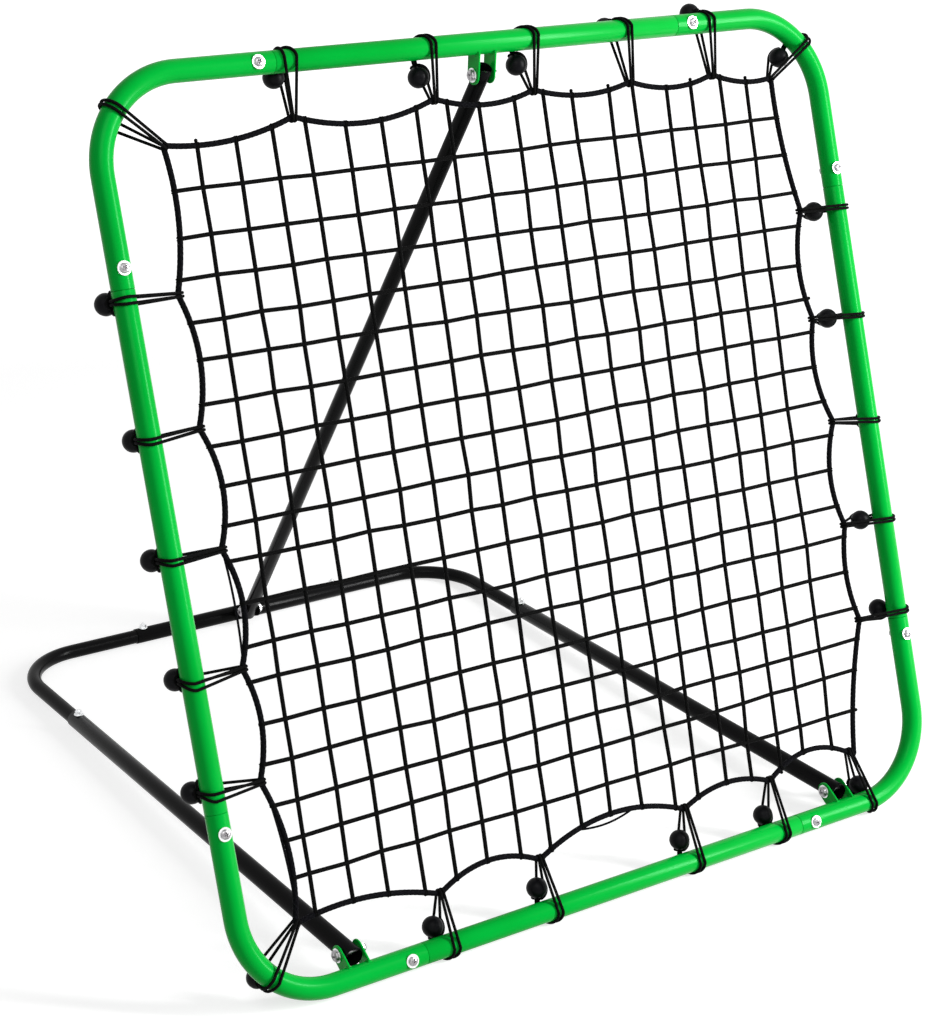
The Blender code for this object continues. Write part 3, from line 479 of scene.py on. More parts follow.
class Shape:
    """A mesh in the making, with a UV map of turns round and metres along, for cords."""

    def __init__(self):
        self.mesh = bmesh.new()
        self.uv = self.mesh.loops.layers.uv.new("along")
        self.finish = 0

    def bake(self, name):
        mesh = bpy.data.meshes.new(name)
        self.mesh.to_mesh(mesh)
        self.mesh.free()
        return mesh

    def points(self, places):
        return [self.mesh.verts.new(place) for place in places]

    def face(self, corners, marks=None):
        made = self.mesh.faces.new(corners)
        made.material_index = self.finish
        if marks:
            for loop, mark in zip(made.loops, marks):
                loop[self.uv].uv = mark

    def skin(self, rings, lengths=None, closed=False):
        """Skins rings of points. Closed joins the last to the first, and else caps close the two ends."""
        made = [self.points(ring) for ring in rings]
        lengths = lengths or [0.001 * k for k in range(len(made) + 1)]
        count = len(made[0])
        spans = [(k, k + 1) for k in range(len(made) - 1)]
        if closed:
            spans.append((len(made) - 1, 0))
        else:
            self.face(made[0][::-1])
            self.face(made[-1])
        for near, far in spans:
            start, end = lengths[near], lengths[near + 1]
            for k in range(count):
                following = (k + 1) % count
                self.face((made[near][k], made[near][following], made[far][following], made[far][k]),
                          ((k / count, start), ((k + 1) / count, start),
                           ((k + 1) / count, end), (k / count, end)))

    def sweep(self, path, radius, sides, closed=False, lay=None):
        """A round cord along a path. A lay of (strands, pitch, depth) makes it a twisted rope."""
        count = len(path)
        headings = []
        for k, point in enumerate(path):
            before = path[k - 1] if k or closed else point
            after = path[(k + 1) % count] if k < count - 1 or closed else point
            headings.append((after - before).normalized())
        across = headings[0].orthogonal().normalized()
        rings = []
        lengths = [0.0]
        for k, (point, heading) in enumerate(zip(path, headings)):
            across = (across - heading * across.dot(heading)).normalized()
            up = heading.cross(across)
            ring = []
            for angle in angles(sides):
                reach = radius
                if lay:
                    strands, pitch, depth = lay
                    lobe = abs(cos(strands / 2 * (angle - tau * lengths[-1] / pitch)))
                    reach += depth * (lobe - 1)
                ring.append(point + reach * (cos(angle) * across + sin(angle) * up))
            rings.append(ring)
            lengths.append(lengths[-1] + (path[(k + 1) % count] - point).length)
        self.skin(rings, lengths, closed)

    def turn(self, matrix, profile, sides):
        """A solid of revolution about the matrix's Z, from heights and radii; a radius of 0 is a point."""
        rings = []
        for height, radius in profile:
            rings.append(self.points(matrix @ p for p in circle(radius, height, sides if radius else 1)))
        for near, far in zip(rings, rings[1:]):
            for k in range(sides):
                following = (k + 1) % sides
                if len(near) == 1:
                    self.face((near[0], far[following], far[k]))
                elif len(far) == 1:
                    self.face((near[k], near[following], far[0]))
                else:
                    self.face((near[k], near[following], far[following], far[k]))
        if len(rings[0]) > 1:
            self.face(rings[0][::-1])
        if len(rings[-1]) > 1:
            self.face(rings[-1])

    def hollow(self, matrix, outer, inner):
        """A turned shell: outer goes one way along the axis and inner comes back."""
        self.skin([[matrix @ p for p in circle(radius, height, TUBE_SIDES)]
                   for height, radius in (*outer, *inner)], closed=True)

    def blob(self, centre, axes, sizes, steps=10):
        """A rounded lump: axes is a 3x3 matrix and sizes are its half widths."""
        place = Matrix.Translation(centre) @ axes.to_4x4() @ Matrix.Diagonal((*sizes, 1))
        layers = steps // 2 + 1
        belt = [(-cos(pi * k / layers), sin(pi * k / layers)) for k in range(1, layers)]
        self.turn(place, [(-1, 0), *belt, (1, 0)], steps)

    def torus(self, centre, axis, major, minor, steps=14, sides=7):
        across = axis.orthogonal().normalized()
        up = axis.cross(across)
        self.sweep([centre + major * (cos(a) * across + sin(a) * up) for a in angles(steps)],
                   minor, sides, closed=True)


def finish_piece(name, shape, material, body, node, crease=TUBE_CREASE):
    """Makes the object, puts it in the world, attaches it to the body it rides on, and hides the solid it
    stands for.
    """
    shape.mesh.transform(BODY_AXES[body])
    bmesh.ops.recalc_face_normals(shape.mesh, faces=shape.mesh.faces)
    mesh = shape.bake(name)
    mesh.shade_smooth()
    mesh.set_sharp_from_angle(angle=radians(crease))
    for finish in material if isinstance(material, tuple) else (material,):
        mesh.materials.append(finish)
    made = put(name, mesh)
    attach(made, body)
    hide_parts(node)


def axes_from(place, along, across):
    """A matrix whose Z runs along, X across, at a place."""
    along = along.normalized()
    across = (across - along * across.dot(along)).normalized()
    return Matrix.Translation(place) @ Matrix((across, along.cross(across), along)).transposed().to_4x4()


# Tubes


def lipped(start, end, radius):
    """A tube's outside from start to end, with its cut edges eased."""
    return [(start, radius - LIP), (start + LIP * 0.3, radius - LIP * 0.3), (start + LIP, radius),
            (end - LIP, radius), (end - LIP * 0.3, radius - LIP * 0.3), (end, radius - LIP)]


def straight_tube(shape, axes, start, end, radius):
    core = radius - WALL
    shape.hollow(axes, lipped(start, end, radius), [(end, core), (start, core)])


def bent_tube(shape, centre, a, b, ends, bend_radius, tube_radius):
    """A bent tube in the plane of a and b, with straight ends and a bore."""
    normal = a.cross(b)
    stations = [(centre + b * bend_radius - a * s, b) for s in (ends[0], ends[0] - LIP)]
    for k in range(BEND_STEPS + 1):
        angle = pi / 2 * (1 - k / BEND_STEPS)
        outward = a * cos(angle) + b * sin(angle)
        stations.append((centre + outward * bend_radius, outward))
    stations += [(centre + a * bend_radius - b * s, a) for s in (ends[1] - LIP, ends[1])]
    radii = [tube_radius - LIP] + [tube_radius] * (len(stations) - 2) + [tube_radius - LIP]
    bore = [tube_radius - WALL] * len(stations)
    rings = []
    for (place, out), radius in (*zip(stations, radii), *zip(reversed(stations), bore)):
        rings.append([place + radius * (cos(t) * out + sin(t) * normal) for t in angles(TUBE_SIDES)])
    shape.skin(rings, closed=True)


def ear_outline(root, tube_radius, pivot, heading):
    """A clevis plate's outline square to X: an arc inside the tube's wall, then a round end."""
    outline = []
    for k in range(ROOT_STEPS + 1):
        angle = heading + EAR_ROOT_ANGLE * (1 - 2 * k / ROOT_STEPS)
        outline.append(root + (tube_radius - WALL / 2) * Vector((0, cos(angle), sin(angle))))
    for k in range(NOSE_STEPS + 1):
        angle = heading - pi / 2 + pi * k / NOSE_STEPS
        outline.append(pivot + EAR_WIDTH / 2 * Vector((0, cos(angle), sin(angle))))
    return outline


def clevis(shape, x, inner_face, root, tube_radius, pivot, seed):
    """Two plates with eased edges, welded to a tube."""
    heading = atan2((pivot - root).z, (pivot - root).y)
    outline = ear_outline(root, tube_radius, pivot, heading)
    middle = sum(outline, Vector()) / len(outline)
    bumps = random.Random(seed)
    for side in (-1, 1):
        near = x + side * inner_face
        far = near + side * EAR_THICKNESS
        edge = side * EAR_EDGE
        shape.skin([[Vector((face, p.y, p.z)) + (middle - p).normalized() * inset for p in outline]
                    for face, inset in ((near, EAR_EDGE), (near + edge, 0),
                                        (far - edge, 0), (far, EAR_EDGE))])
        for face in (near, far):
            bead = []
            for k in range(WELD_STEPS + 1):
                angle = heading + WELD_ANGLE * (2 * k / WELD_STEPS - 1)
                reach = tube_radius + bumps.uniform(0.0, WELD_RIPPLE)
                bead.append(Vector((face, root.y, root.z)) + reach * Vector((0, cos(angle), sin(angle))))
            shape.sweep(bead, WELD_RADIUS, 8)


def make_frame_tubes():
    """Straight tubes with a swaged plug at each end, and the bends that the plugs go into."""
    seam = HALF - FRAME_SEAM - GAP
    end = HALF - FRAME_SEAM + FRAME_PLUG_LENGTH
    core = FRAME_PLUG_RADIUS - WALL
    plug = [(seam, FRAME_PLUG_RADIUS), (end, FRAME_PLUG_RADIUS)]
    outer = [(-s, r) for s, r in reversed(plug)] + lipped(-seam, seam, FRAME_TUBE_RADIUS) + plug
    for side, axes in SIDES.items():
        shape = Shape()
        shape.hollow(axes_from(*axes), outer, [(end, core), (-end, core)])
        if side == "top":
            clevis(shape, 0, STRUT_RADIUS + EAR_PLAY, axes[0], FRAME_TUBE_RADIUS, TOP_PIVOT, 3)
        finish_piece(f"{side}_tube", shape, green_coat, "net_frame", f"frame_{side}_tube")
    inset = HALF - FRAME_BEND_RADIUS
    straight = FRAME_SEAM - FRAME_BEND_RADIUS
    for corner, (sign_x, sign_u) in CORNERS.items():
        shape = Shape()
        bent_tube(shape, on_frame(sign_x * inset, HALF + sign_u * inset), X * sign_x, Z * sign_u,
                  (straight, straight), FRAME_BEND_RADIUS, FRAME_TUBE_RADIUS)
        if sign_u < 0:
            x = sign_x * LEG_X
            clevis(shape, x, LEG_RADIUS + EAR_PLAY, on_frame(x, 0), FRAME_TUBE_RADIUS, Vector((x, 0, 0)),
                   5 + sign_x)
        finish_piece(f"{corner}_bend", shape, green_coat, "net_frame", f"frame_corner_{corner}")


def make_base_tubes():
    for side, sign in (("left", -1), ("right", 1)):
        x = sign * LEG_X
        shape = Shape()
        straight_tube(shape, axes_from(Vector((x, 0, 0)), Y, X), -LEG_NOSE, LEG_END, LEG_RADIUS)
        finish_piece(f"{side}_leg", shape, black_coat, "base", f"base_leg_{side}")

        shape = Shape()
        centre = Vector((x - sign * BASE_BEND_RADIUS, BASE_REACH - BASE_BEND_RADIUS, 0))
        ends = [seam + BASE_PLUG_LENGTH - BASE_BEND_RADIUS for seam in (BASE_REAR_SEAM, BASE_LEG_SEAM)]
        bent_tube(shape, centre, X * sign, Y, ends, BASE_BEND_RADIUS, BASE_CORNER_RADIUS)
        finish_piece(f"{side}_rear_bend", shape, black_coat, "base", f"base_corner_{side}")
    shape = Shape()
    middle = Vector((0, BASE_REACH, 0))
    straight_tube(shape, axes_from(middle, X, Y), -REAR_END, REAR_END, REAR_HEIGHT)
    clevis(shape, 0, STRUT_RADIUS + EAR_PLAY, middle, REAR_HEIGHT, FOOT_PIVOT, 11)
    finish_piece("rear_tube", shape, black_coat, "base", "base_rear_tube")


def make_strut():
    run = BODY_AXES["base"] @ FOOT_PIVOT - STRUT_TOP
    shape = Shape()
    straight_tube(shape, axes_from(STRUT_TOP, run, X), -STRUT_NOSE, run.length + STRUT_NOSE, STRUT_RADIUS)
    finish_piece("strut", shape, black_coat, "strut", "strut_tube")


# Fasteners


def washer(shape, matrix, seat, radius, thickness):
    edge = thickness * 0.3
    top = seat + thickness
    shape.turn(matrix, [(seat, 0), (seat, radius - edge), (seat + edge, radius), (top - edge, radius),
                        (top, radius - edge), (top, 0)], 40)


def rod(shape, matrix, start, end, radius, sides):
    shape.turn(matrix, [(start, 0), (start, radius), (end, radius), (end, 0)], sides)


def pan_head(shape, matrix, seat, radius, height):
    """A domed head with a cross recess, made as rings whose height dips inside the cross."""
    half_width = radius * CROSS_HALF_WIDTH
    arm = radius * CROSS_REACH
    crown = 1 - HEAD_RIM_HEIGHT
    shape.finish = 1
    skin = [circle(radius * 0.98, seat, HEAD_SIDES),
            circle(radius, seat + height * HEAD_RIM_HEIGHT, HEAD_SIDES)]
    for ring in range(HEAD_RINGS, 0, -1):
        share = 0.97 * (ring / HEAD_RINGS)
        reach = radius * share
        dome = sqrt(1 - share ** HEAD_ROUNDNESS)
        top = seat + height * (HEAD_RIM_HEIGHT + crown * dome)
        points = []
        for a in angles(HEAD_SIDES):
            x, y = reach * cos(a), reach * sin(a)
            dip = 0.0
            for near, far in ((abs(x), abs(y)), (abs(y), abs(x))):
                narrow = min(1.0, max(0.0, (half_width - near) / (half_width * 0.5)))
                short = min(1.0, max(0.0, (arm - far) / (arm * 0.35)))
                dip = max(dip, narrow * short)
            points.append(Vector((x, y, top - dip * height * CROSS_DEPTH)))
        skin.append(points)
    shape.skin([[matrix @ p for p in ring] for ring in skin])


def hex_nut(shape, matrix, seat, radius, height, dome=0.0):
    """A chamfered hexagon nut, with a dome on the far side where it is a cap nut."""
    flat = radius * cos(pi / 6)
    rings = []
    for level, trim in ((0, 0.92), (0.12, 1.0), (0.88, 1.0), (1.0, 0.92)):
        ring = []
        for a in angles(HEAD_SIDES):
            edge = flat / cos((a + pi / 6) % (pi / 3) - pi / 6)
            reach = min(edge, radius * trim)
            ring.append(matrix @ Vector((reach * cos(a), reach * sin(a), seat + height * level)))
        rings.append(ring)
    shape.skin(rings)
    if dome:
        cap = flat * 0.86
        arc = [pi / 2 * k / 7 for k in range(7)]
        shape.turn(matrix, [(seat + height * 0.9, cap),
                            *((seat + height + dome * sin(a), cap * cos(a)) for a in arc),
                            (seat + height + dome, 0)], 32)


def thread(shape, matrix, start, end, radius):
    """A threaded end as ridges of one pitch, with a chamfered tip."""
    profile = [(start, 0), (start, radius)]
    level = start
    while level + THREAD_PITCH < end - THREAD_PITCH / 2:
        profile += [(level + THREAD_PITCH / 2, radius), (level + THREAD_PITCH, radius * 0.86)]
        level += THREAD_PITCH
    profile += [(end - radius * 0.2, radius * 0.95), (end, radius * 0.7), (end, 0)]
    shape.turn(matrix, profile, 24)


def make_frame_bolts():
    """Round-headed bolts on the front of each tube joint, with a cap nut behind."""
    spins = random.Random(21)
    seat = FRAME_TUBE_RADIUS - GAP
    for corner, (sign_x, sign_u) in CORNERS.items():
        vertical, across = corner.split("_")
        for side, sign, end in ((vertical, sign_x, vertical), (across, sign_u, "side")):
            node = f"frame_bolt_{corner}_{end}"
            middle, along, _ = SIDES[side]
            place = middle + along * sign * (HALF - FRAME_SEAM + FRAME_BOLT_INSET)
            spin = Matrix.Rotation(spins.uniform(0, tau), 4, "Z")
            front = axes_from(place, -Y, X) @ spin
            rear = axes_from(place, Y, X) @ spin
            shape = Shape()
            washer(shape, front, seat, WASHER_RADIUS, WASHER_THICKNESS)
            pan_head(shape, front, seat + WASHER_THICKNESS, HEAD_RADIUS, HEAD_HEIGHT)
            rod(shape, front, -seat, seat, THREAD_RADIUS, 24)
            hex_nut(shape, rear, seat, FRAME_NUT_RADIUS, FRAME_NUT_LENGTH * 0.55, FRAME_NUT_LENGTH * 0.4)
            finish_piece(f"{node}_detail", shape, (zinc, dull_zinc), "net_frame", node, METAL_CREASE)


def make_base_bolts():
    """Bolts up through the base's tube joints, each with a washer and a nut on top."""
    seat = LEG_RADIUS - GAP
    top = seat + WASHER_THICKNESS
    nut_top = top + BASE_NUT_HEIGHT
    for side, sign in (("left", -1), ("right", 1)):
        places = {"leg": Vector((sign * LEG_X, LEG_END - BASE_BOLT_INSET, 0)),
                  "rear": Vector((sign * (REAR_END - BASE_BOLT_INSET), BASE_REACH, 0))}
        for end, place in places.items():
            node = f"base_bolt_{side}_{end}"
            matrix = axes_from(place, Z, X)
            shape = Shape()
            washer(shape, matrix, seat, BASE_WASHER_RADIUS, WASHER_THICKNESS)
            hex_nut(shape, matrix, top, BASE_NUT_RADIUS, BASE_NUT_HEIGHT)
            thread(shape, matrix, top + BASE_NUT_HEIGHT * 0.9, nut_top + BASE_BOLT_END, THREAD_RADIUS)
            rod(shape, matrix, -seat * 0.7, seat, THREAD_RADIUS, 24)
            finish_piece(f"{node}_detail", shape, zinc, "base", node, METAL_CREASE)


def make_pivots():
    """The pivots' bolts and nuts. The foot's bolt is two ends, between which the strut can leave."""
    rows = (("leg_pivot_{}_left", Vector((-LEG_X, 0, 0)), LEG_RADIUS, "net_frame"),
            ("leg_pivot_{}_right", Vector((LEG_X, 0, 0)), LEG_RADIUS, "net_frame"),
            ("strut_top_{}", TOP_PIVOT, STRUT_RADIUS, "net_frame"),
            ("strut_foot_{}", FOOT_PIVOT, STRUT_RADIUS, "base"))
    for name, place, radius, body in rows:
        through = body == "net_frame"
        inner_face = radius + EAR_PLAY
        seat = inner_face + EAR_THICKNESS + GAP / 2
        head_side = axes_from(place, -X, Z)
        nut_side = axes_from(place, X, Z)
        bolt, nut = name.format("bolt"), name.format("nut")
        shape = Shape()
        washer(shape, head_side, seat, PIVOT_WASHER_RADIUS, PIVOT_WASHER_THICKNESS)
        pan_head(shape, head_side, seat + PIVOT_WASHER_THICKNESS, PIVOT_HEAD_RADIUS, PIVOT_HEAD_LENGTH)
        far = -(seat + PIVOT_NUT_LENGTH * 0.9) if through else inner_face
        rod(shape, head_side, far, seat, PIVOT_RADIUS, 32)
        if through:
            thread(shape, nut_side, seat + PIVOT_NUT_LENGTH * 0.8, seat + PIVOT_NUT_LENGTH + PIVOT_BOLT_END,
                   PIVOT_RADIUS)
        finish_piece(f"{bolt}_detail", shape, (zinc, dull_zinc), body, bolt, METAL_CREASE)
        shape = Shape()
        hex_nut(shape, nut_side, seat, PIVOT_NUT_RADIUS, PIVOT_NUT_LENGTH * (0.8 if through else 0.6))
        shape.turn(nut_side, [(seat + PIVOT_NUT_LENGTH * level, PIVOT_NUT_RADIUS * share)
                              for level, share in COLLAR], 32)
        finish_piece(f"{nut}_detail", shape, zinc, body, nut, METAL_CREASE)


# Net


def net_corner(corner):
    """A corner of the net's border as x and u from the frame's middle."""
    sign_x, sign_u = CORNERS[corner]
    across, rise = NET_CORNERS[corner]
    return sign_x * (HALF - across), sign_u * (HALF - rise)


def border_line(side):
    """The border's centreline along one side: its stops, and its depth at any place along the side."""
    ties = TIES[side]
    axis = 0 if side in ("top", "bottom") else 1
    corners = (net_corner(name) for name in CORNERS if side in name.split("_"))
    start, end = sorted(corners, key=lambda corner: corner[axis])
    stops = [start[axis]] + [tie[0] for tie in ties] + [end[axis]]
    depths = [HALF - abs(start[1 - axis])] + [tie[1] for tie in ties] + [HALF - abs(end[1 - axis])]
    sags = [tie[2] for tie in ties] + [LAST_SAG[side]]

    def depth(place):
        span = max(k for k in range(len(sags)) if k == 0 or stops[k] <= place)
        share = (place - stops[span]) / (stops[span + 1] - stops[span])
        straight = depths[span] + share * (depths[span + 1] - depths[span])
        return straight + sags[span] * 4 * share * (1 - share)

    return stops, depth


BORDERS = {side: border_line(side) for side in TIES}


def border_point(side, place, offset=0.0):
    """A point on the border; offset is outwards, towards the tube."""
    edge = HALF - BORDERS[side][1](place) + offset
    if side in ("left", "right"):
        return on_frame(edge if side == "right" else -edge, HALF + place)
    return on_frame(place, HALF + (edge if side == "top" else -edge))


def side_path(side):
    """Points along one side's border, a step apart, without its last corner."""
    stops, _ = BORDERS[side]
    length = stops[-1] - stops[0]
    count = int(length / BORDER_STEP)
    return [border_point(side, stops[0] + length * k / count) for k in range(count)]


def border_loop():
    """The whole border with eased corners, clockwise from the top left as the player sees it."""
    corner = {name: border_point(name.split("_")[0], net_corner(name)[0]) for name in CORNERS}
    path = side_path("top") + [corner["top_right"]] + side_path("right")[:0:-1]
    path += [corner["bottom_right"]] + side_path("bottom")[:0:-1] + side_path("left")
    for _ in range(3):
        path = [(path[k - 1] + path[k] * 2 + path[(k + 1) % len(path)]) / 4 for k in range(len(path))]
    return path


def crossing(a, b, c, d):
    """Where the lines a-b and c-d cross, in the plane of the net."""
    p, q = b - a, d - c
    share = ((c.x - a.x) * q.z - (c.z - a.z) * q.x) / (p.x * q.z - p.z * q.x)
    return a + p * share


def make_mesh():
    """Cords knotted where they cross, each looped round the border rope at its ends."""
    wander = random.Random(7)
    ends = {}
    for side, places in CORDS.items():
        shift = 0 if side in ("top", "bottom") else -HALF
        ends[side] = [border_point(side, place / 1000 + shift) for place in places]
    tops, bottoms, lefts, rights = ends.values()
    knots = {}
    for i, (low, high) in enumerate(zip(bottoms, tops)):
        for j, (near, far) in enumerate(zip(lefts, rights)):
            drift = Vector([wander.uniform(-KNOT_DRIFT, KNOT_DRIFT) for _ in range(3)])
            knots[i, j] = crossing(low, high, near, far) + drift
    shape = Shape()
    columns = [[bottoms[i]] + [knots[i, j] for j in range(len(lefts))] + [tops[i]] for i in range(len(tops))]
    rows = [[lefts[j]] + [knots[i, j] for i in range(len(tops))] + [rights[j]] for j in range(len(lefts))]
    for line in columns + rows:
        path = []
        for start, end in zip(line, line[1:]):
            path += [start.lerp(end, k / 4) for k in range(4)]
        path.append(line[-1])
        shape.sweep(path, MESH_CORD_RADIUS, 10)
    for place in knots.values():
        turn = KNOT_TURN + wander.uniform(-KNOT_TURN_SPREAD, KNOT_TURN_SPREAD)
        shape.blob(place, Matrix.Rotation(radians(turn), 3, "Y"),
                   (KNOT_RADIUS, KNOT_RADIUS * 0.95, KNOT_RADIUS))
    for side, places in ends.items():
        _, along, inward = SIDES[side]
        outward = -inward
        for k, place in enumerate(places):
            for spread in (-WRAP_SPREAD, WRAP_SPREAD):
                lean = (along + outward * wander.uniform(-WRAP_LEAN, WRAP_LEAN)).normalized()
                shape.torus(place + along * spread, lean, BORDER_RADIUS - WRAP_RADIUS * 0.3, WRAP_RADIUS)
            reach = LONG_NUB_REACH if k in LONG_NUBS[side] else NUB_REACH
            shape.blob(place + outward * reach + along * wander.uniform(-NUB_DRIFT, NUB_DRIFT),
                       Matrix.Identity(3), [NUB_RADIUS] * 3, 8)
    finish_piece("net_mesh", shape, net_cord, "net_frame", "net", NET_CREASE)


def make_border():
    """The twisted rope round the net, with the slack lengths of thin cord beside it."""
    shape = Shape()
    shape.sweep(border_loop(), BORDER_RADIUS, 16, closed=True, lay=BORDER_LAY)
    for side, start, end, hang in SLACK_CORDS:
        slack = []
        for k in range(SLACK_STEPS + 1):
            out = hang * sin(pi * k / SLACK_STEPS) ** 0.8
            slack.append(border_point(side, start + (end - start) * k / SLACK_STEPS, out))
        shape.sweep(slack, SLACK_CORD_RADIUS, 10)
    finish_piece("net_border_rope", shape, rope, "net_frame", "net", NET_CREASE)


# Ties


def polar(radius, angle):
    return radius * Vector((cos(angle), sin(angle)))


def tie_route(border, ball, wrap_radius, loop_radius):
    """One strand's route in the plane of inward and back: to the tube, round it, to the border, round it."""
    leave = atan2(ball.y, ball.x) + acos(wrap_radius / ball.length)
    slant = asin((wrap_radius - loop_radius) / border)
    front_angle = tau - pi / 2 - slant
    hook = Vector((border, 0))
    gap = ball - hook
    rear_angle = atan2(gap.y, gap.x) - acos(min(1.0, loop_radius / gap.length))
    tube_near = polar(wrap_radius, leave)
    neck = ball + (tube_near - ball).normalized() * BALL_RADIUS * STRAND_IN_BALL
    down = [neck.lerp(tube_near, k / NECK_STEPS) for k in range(NECK_STEPS)]
    wrap = [polar(wrap_radius, leave + (front_angle - leave) * k / WRAP_STEPS) for k in range(WRAP_STEPS + 1)]
    front = hook + polar(loop_radius, front_angle)
    across = [wrap[-1].lerp(front, k / ACROSS_STEPS) for k in range(1, ACROSS_STEPS)]
    turn = rear_angle + tau - front_angle
    loop = [hook + polar(loop_radius, front_angle + turn * k / LOOP_STEPS) for k in range(LOOP_STEPS + 1)]
    return down, wrap, across, loop


def over_ball(ball, start, neck_way, side, start_side, lean):
    """The bight's leg from the border over the back of the ball to its neck: (in plane, sideways) pairs."""
    radius = BALL_RADIUS + STRAND_RADIUS
    gap = start - ball
    border_way = gap.normalized()
    behind = Vector((-border_way.y, border_way.x))
    if behind.y < 0:
        behind = -behind
    first = acos(radius / hypot(gap.length, start_side)) / pi
    places = []
    for k in range(LEG_STEPS + 1):
        share = first + (LEG_END_SHARE - first) * k / LEG_STEPS
        round_line = lean + side * asin(LEG_APART + (1 - LEG_APART) * k / LEG_STEPS)
        blend = sin(pi * share / 2) ** 2
        swell = sin(pi * share)
        way = border_way * (1 - blend) + neck_way * blend + behind * cos(round_line) * swell
        sideways = sin(round_line) * swell
        whole = hypot(way.length, sideways)
        places.append((ball + way * radius / whole, radius * sideways / whole))
    touch, touch_side = places[0]
    straight = [(start.lerp(touch, k / NECK_STEPS), start_side + (touch_side - start_side) * k / NECK_STEPS)
                for k in range(1, NECK_STEPS)]
    return straight + places


def make_ball(name, matrix):
    """A moulded ball with a faint seam round its middle and an open mouth at its neck."""
    profile = [(-BALL_RADIUS, 0)]
    for k in range(1, BALL_STEPS - 3):
        t = pi * k / BALL_STEPS
        seam = BALL_SEAM if 2 * k == BALL_STEPS else 0
        profile.append((-BALL_RADIUS * cos(t), BALL_RADIUS * sin(t) + seam))
    rim_height, rim_radius = profile[-1]
    profile += [(rim_height + rise, rim_radius * share) for rise, share in BALL_MOUTH]
    shape = Shape()
    shape.turn(matrix, profile, 40)
    finish_piece(f"{name}_ball", shape, ball_plastic, "net_frame", name, BALL_CREASE)


def make_tie(name, place, along, inward, border, border_shift, ball_row, spread, margin=0.0):
    """A ball and its elastic loop: both ends leave the ball's neck, and the bight hooks over the ball."""
    ball_angle, stand_off, ball_shift, lean = ball_row
    distance = FRAME_TUBE_RADIUS + BALL_RADIUS + BALL_SEAT + stand_off + margin
    ball = polar(distance, radians(ball_angle))
    down, wrap, across, loop = tie_route(border, ball, FRAME_TUBE_RADIUS + margin + STRAND_RADIUS,
                                         BORDER_RADIUS + STRAND_RADIUS)
    neck_way = (down[-1] - down[0]).normalized()
    on_net = STRAND_SPREAD_ON_NET / 2

    def spot(point, sideways):
        return place + inward * point.x + Y * point.y + along * sideways

    strands = []
    for side in (-1, 1):
        at_ball = ball_shift + side * STRAND_SPREAD_IN_BALL / 2
        at_tube = side * spread / 2
        at_border = border_shift + side * on_net
        strand = [spot(point, at_ball) for point in down]
        for k, point in enumerate(wrap):
            share = k / (len(wrap) - 1)
            ease = share * share * (3 - 2 * share)
            strand.append(spot(point, at_ball * (1 - ease) + at_tube * ease))
        for k, point in enumerate(across, start=1):
            share = k / (len(across) + 1)
            strand.append(spot(point, at_tube * (1 - share) + at_border * share))
        strand += [spot(point, at_border) for point in loop]
        leg = over_ball(ball, loop[-1], neck_way, side, side * on_net, radians(lean))
        for k, (point, sideways) in enumerate(leg, start=1):
            ease = min(1.0, k / NECK_STEPS)
            strand.append(spot(point, sideways + border_shift * (1 - ease) + ball_shift * ease))
        strands.append(strand)
    first, last = strands[0][-1], strands[1][-1]
    middle = (first + last) / 2
    half_way = (last - first) / 2
    away = Vector((-neck_way.y, neck_way.x))
    if away.dot(ball) < 0:
        away = -away
    neck_line = inward * neck_way.x + Y * neck_way.y
    away = (inward * away.x + Y * away.y + BIGHT_LEAN * neck_line).normalized()
    bight = [middle + away * BIGHT_REACH * sin(a) - half_way * cos(a)
             for a in (pi * k / BIGHT_STEPS for k in range(1, BIGHT_STEPS))]
    shape = Shape()
    shape.sweep(strands[0] + bight + strands[1][::-1], STRAND_RADIUS, 12)
    finish_piece(f"{name}_elastic", shape, elastic, "net_frame", name, ELASTIC_CREASE)
    make_ball(name, axes_from(spot(ball, ball_shift), neck_line, along))


def make_ties():
    for side, ties in TIES.items():
        middle, along, inward = SIDES[side]
        for k, (place, depth, _, angle, stand_off, ball_shift, lean, spread, shift) in enumerate(ties, 1):
            make_tie(f"tie_{side}_{k}", middle + along * (place + shift), along, inward, depth, -shift,
                     (angle, stand_off, ball_shift - shift, lean), spread)
    inset = HALF - FRAME_BEND_RADIUS
    for corner, (degrees, ball_row, spread) in CORNER_TIES.items():
        sign_x, sign_u = CORNERS[corner]
        turn = radians(degrees)
        outward = Vector((sign_x * cos(turn), 0, sign_u * sin(turn)))
        place = on_frame(sign_x * inset, HALF + sign_u * inset) + outward * FRAME_BEND_RADIUS
        along = outward.cross(Y)
        x, u = net_corner(corner)
        border = on_frame(x, HALF + u) - place
        make_tie(f"tie_corner_{corner}", place, along, -outward, -border.dot(outward), border.dot(along),
                 ball_row, spread, CORNER_TIE_MARGIN)
    middle, along, inward = SIDES["bottom"]
    place = HALF - BOTTOM_RIGHT_TIE
    hold = net_corner("bottom_right")[0] - BOTTOM_RIGHT_HOLD
    make_tie("tie_corner_bottom_right", middle + along * place, along, inward, BORDERS["bottom"][1](hold),
             hold - place, BOTTOM_RIGHT_BALL, BOTTOM_RIGHT_SPREAD)


# Stage, light and camera


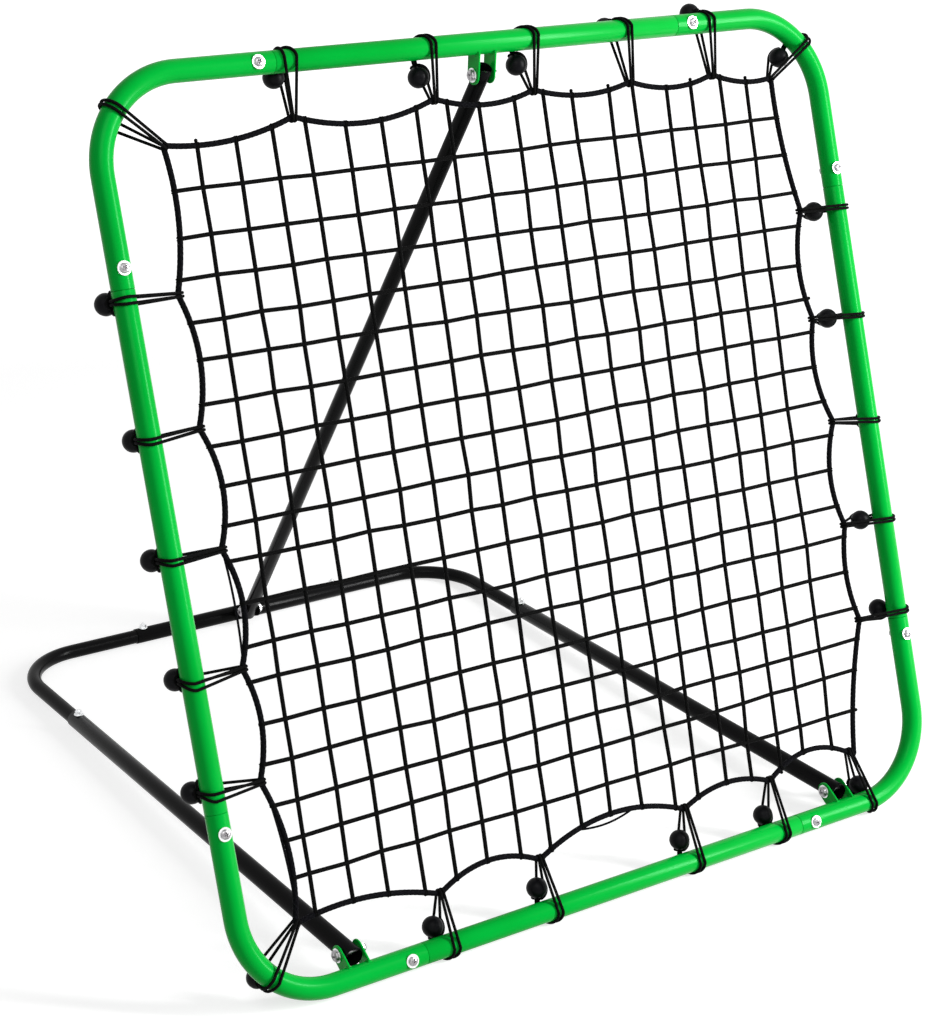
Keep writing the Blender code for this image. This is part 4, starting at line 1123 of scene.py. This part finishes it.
def make_stage():
    """A pale floor that turns to white further out, and keeps the object's shadow."""
    floor = Shape()
    floor.face(floor.points(Vector((x * FLOOR_REACH, y * FLOOR_REACH, -FLOOR_DROP))
                            for x, y in ((-1, -1), (1, -1), (1, 1), (-1, 1))))
    mesh = floor.bake("floor")
    made = put("floor", mesh)
    paint = Paint("pale_floor")
    away = paint.node("ShaderNodeVectorMath", {0: paint.place()}, operation="LENGTH").outputs["Value"]
    glow = paint.math("MULTIPLY", paint.seen(), paint.spread(away, *FLOOR_GLOW, *FLOOR_GLOW_PLACES))
    paint.finish(Base_Color=FLOOR_COLOUR, Roughness=0.95, Emission_Color=(1, 1, 1, 1), Emission_Strength=glow)
    mesh.materials.append(paint.material)


def make_light():
    """A white world that lights the object softly, and two lamps."""
    world = bpy.data.worlds.new("pale_room")
    world.use_nodes = True
    room = Nodes(world.node_tree)
    sky = world.node_tree.nodes["Background"]
    room.feed(sky, "Strength", room.spread(room.seen(), WORLD_LEVEL, 1.0))
    room.feed(sky, "Color", (1, 1, 1, 1))
    bpy.context.scene.world = world
    for name, (place, target, size, watts) in LAMPS.items():
        lamp = bpy.data.lights.new(name, "AREA")
        lamp.shape = "RECTANGLE"
        lamp.size, lamp.size_y = size
        lamp.energy = watts
        made = put(name, lamp)
        made.location = place
        made.rotation_euler = (Vector(target) - Vector(place)).to_track_quat("-Z", "Y").to_euler()


def make_camera():
    camera = put("camera", bpy.data.cameras.new("camera"))
    camera.matrix_world = (Matrix.Translation(CAMERA_PLACE) @ Matrix.Rotation(-CAMERA_AZIMUTH, 4, "Z")
                           @ Matrix.Rotation(pi / 2 - CAMERA_DIP, 4, "X")
                           @ Matrix.Rotation(CAMERA_ROLL, 4, "Z"))
    camera.data.sensor_width = CAMERA_SENSOR
    camera.data.lens = CAMERA_LENS
    camera.data.clip_end = CAMERA_FAR
    bpy.context.scene.camera = camera


make_camera()
make_frame_tubes()
make_base_tubes()
make_strut()
make_frame_bolts()
make_base_bolts()
make_pivots()
make_mesh()
make_border()
make_ties()
make_stage()
make_light()
bpy.context.scene.view_settings.view_transform = "Standard"
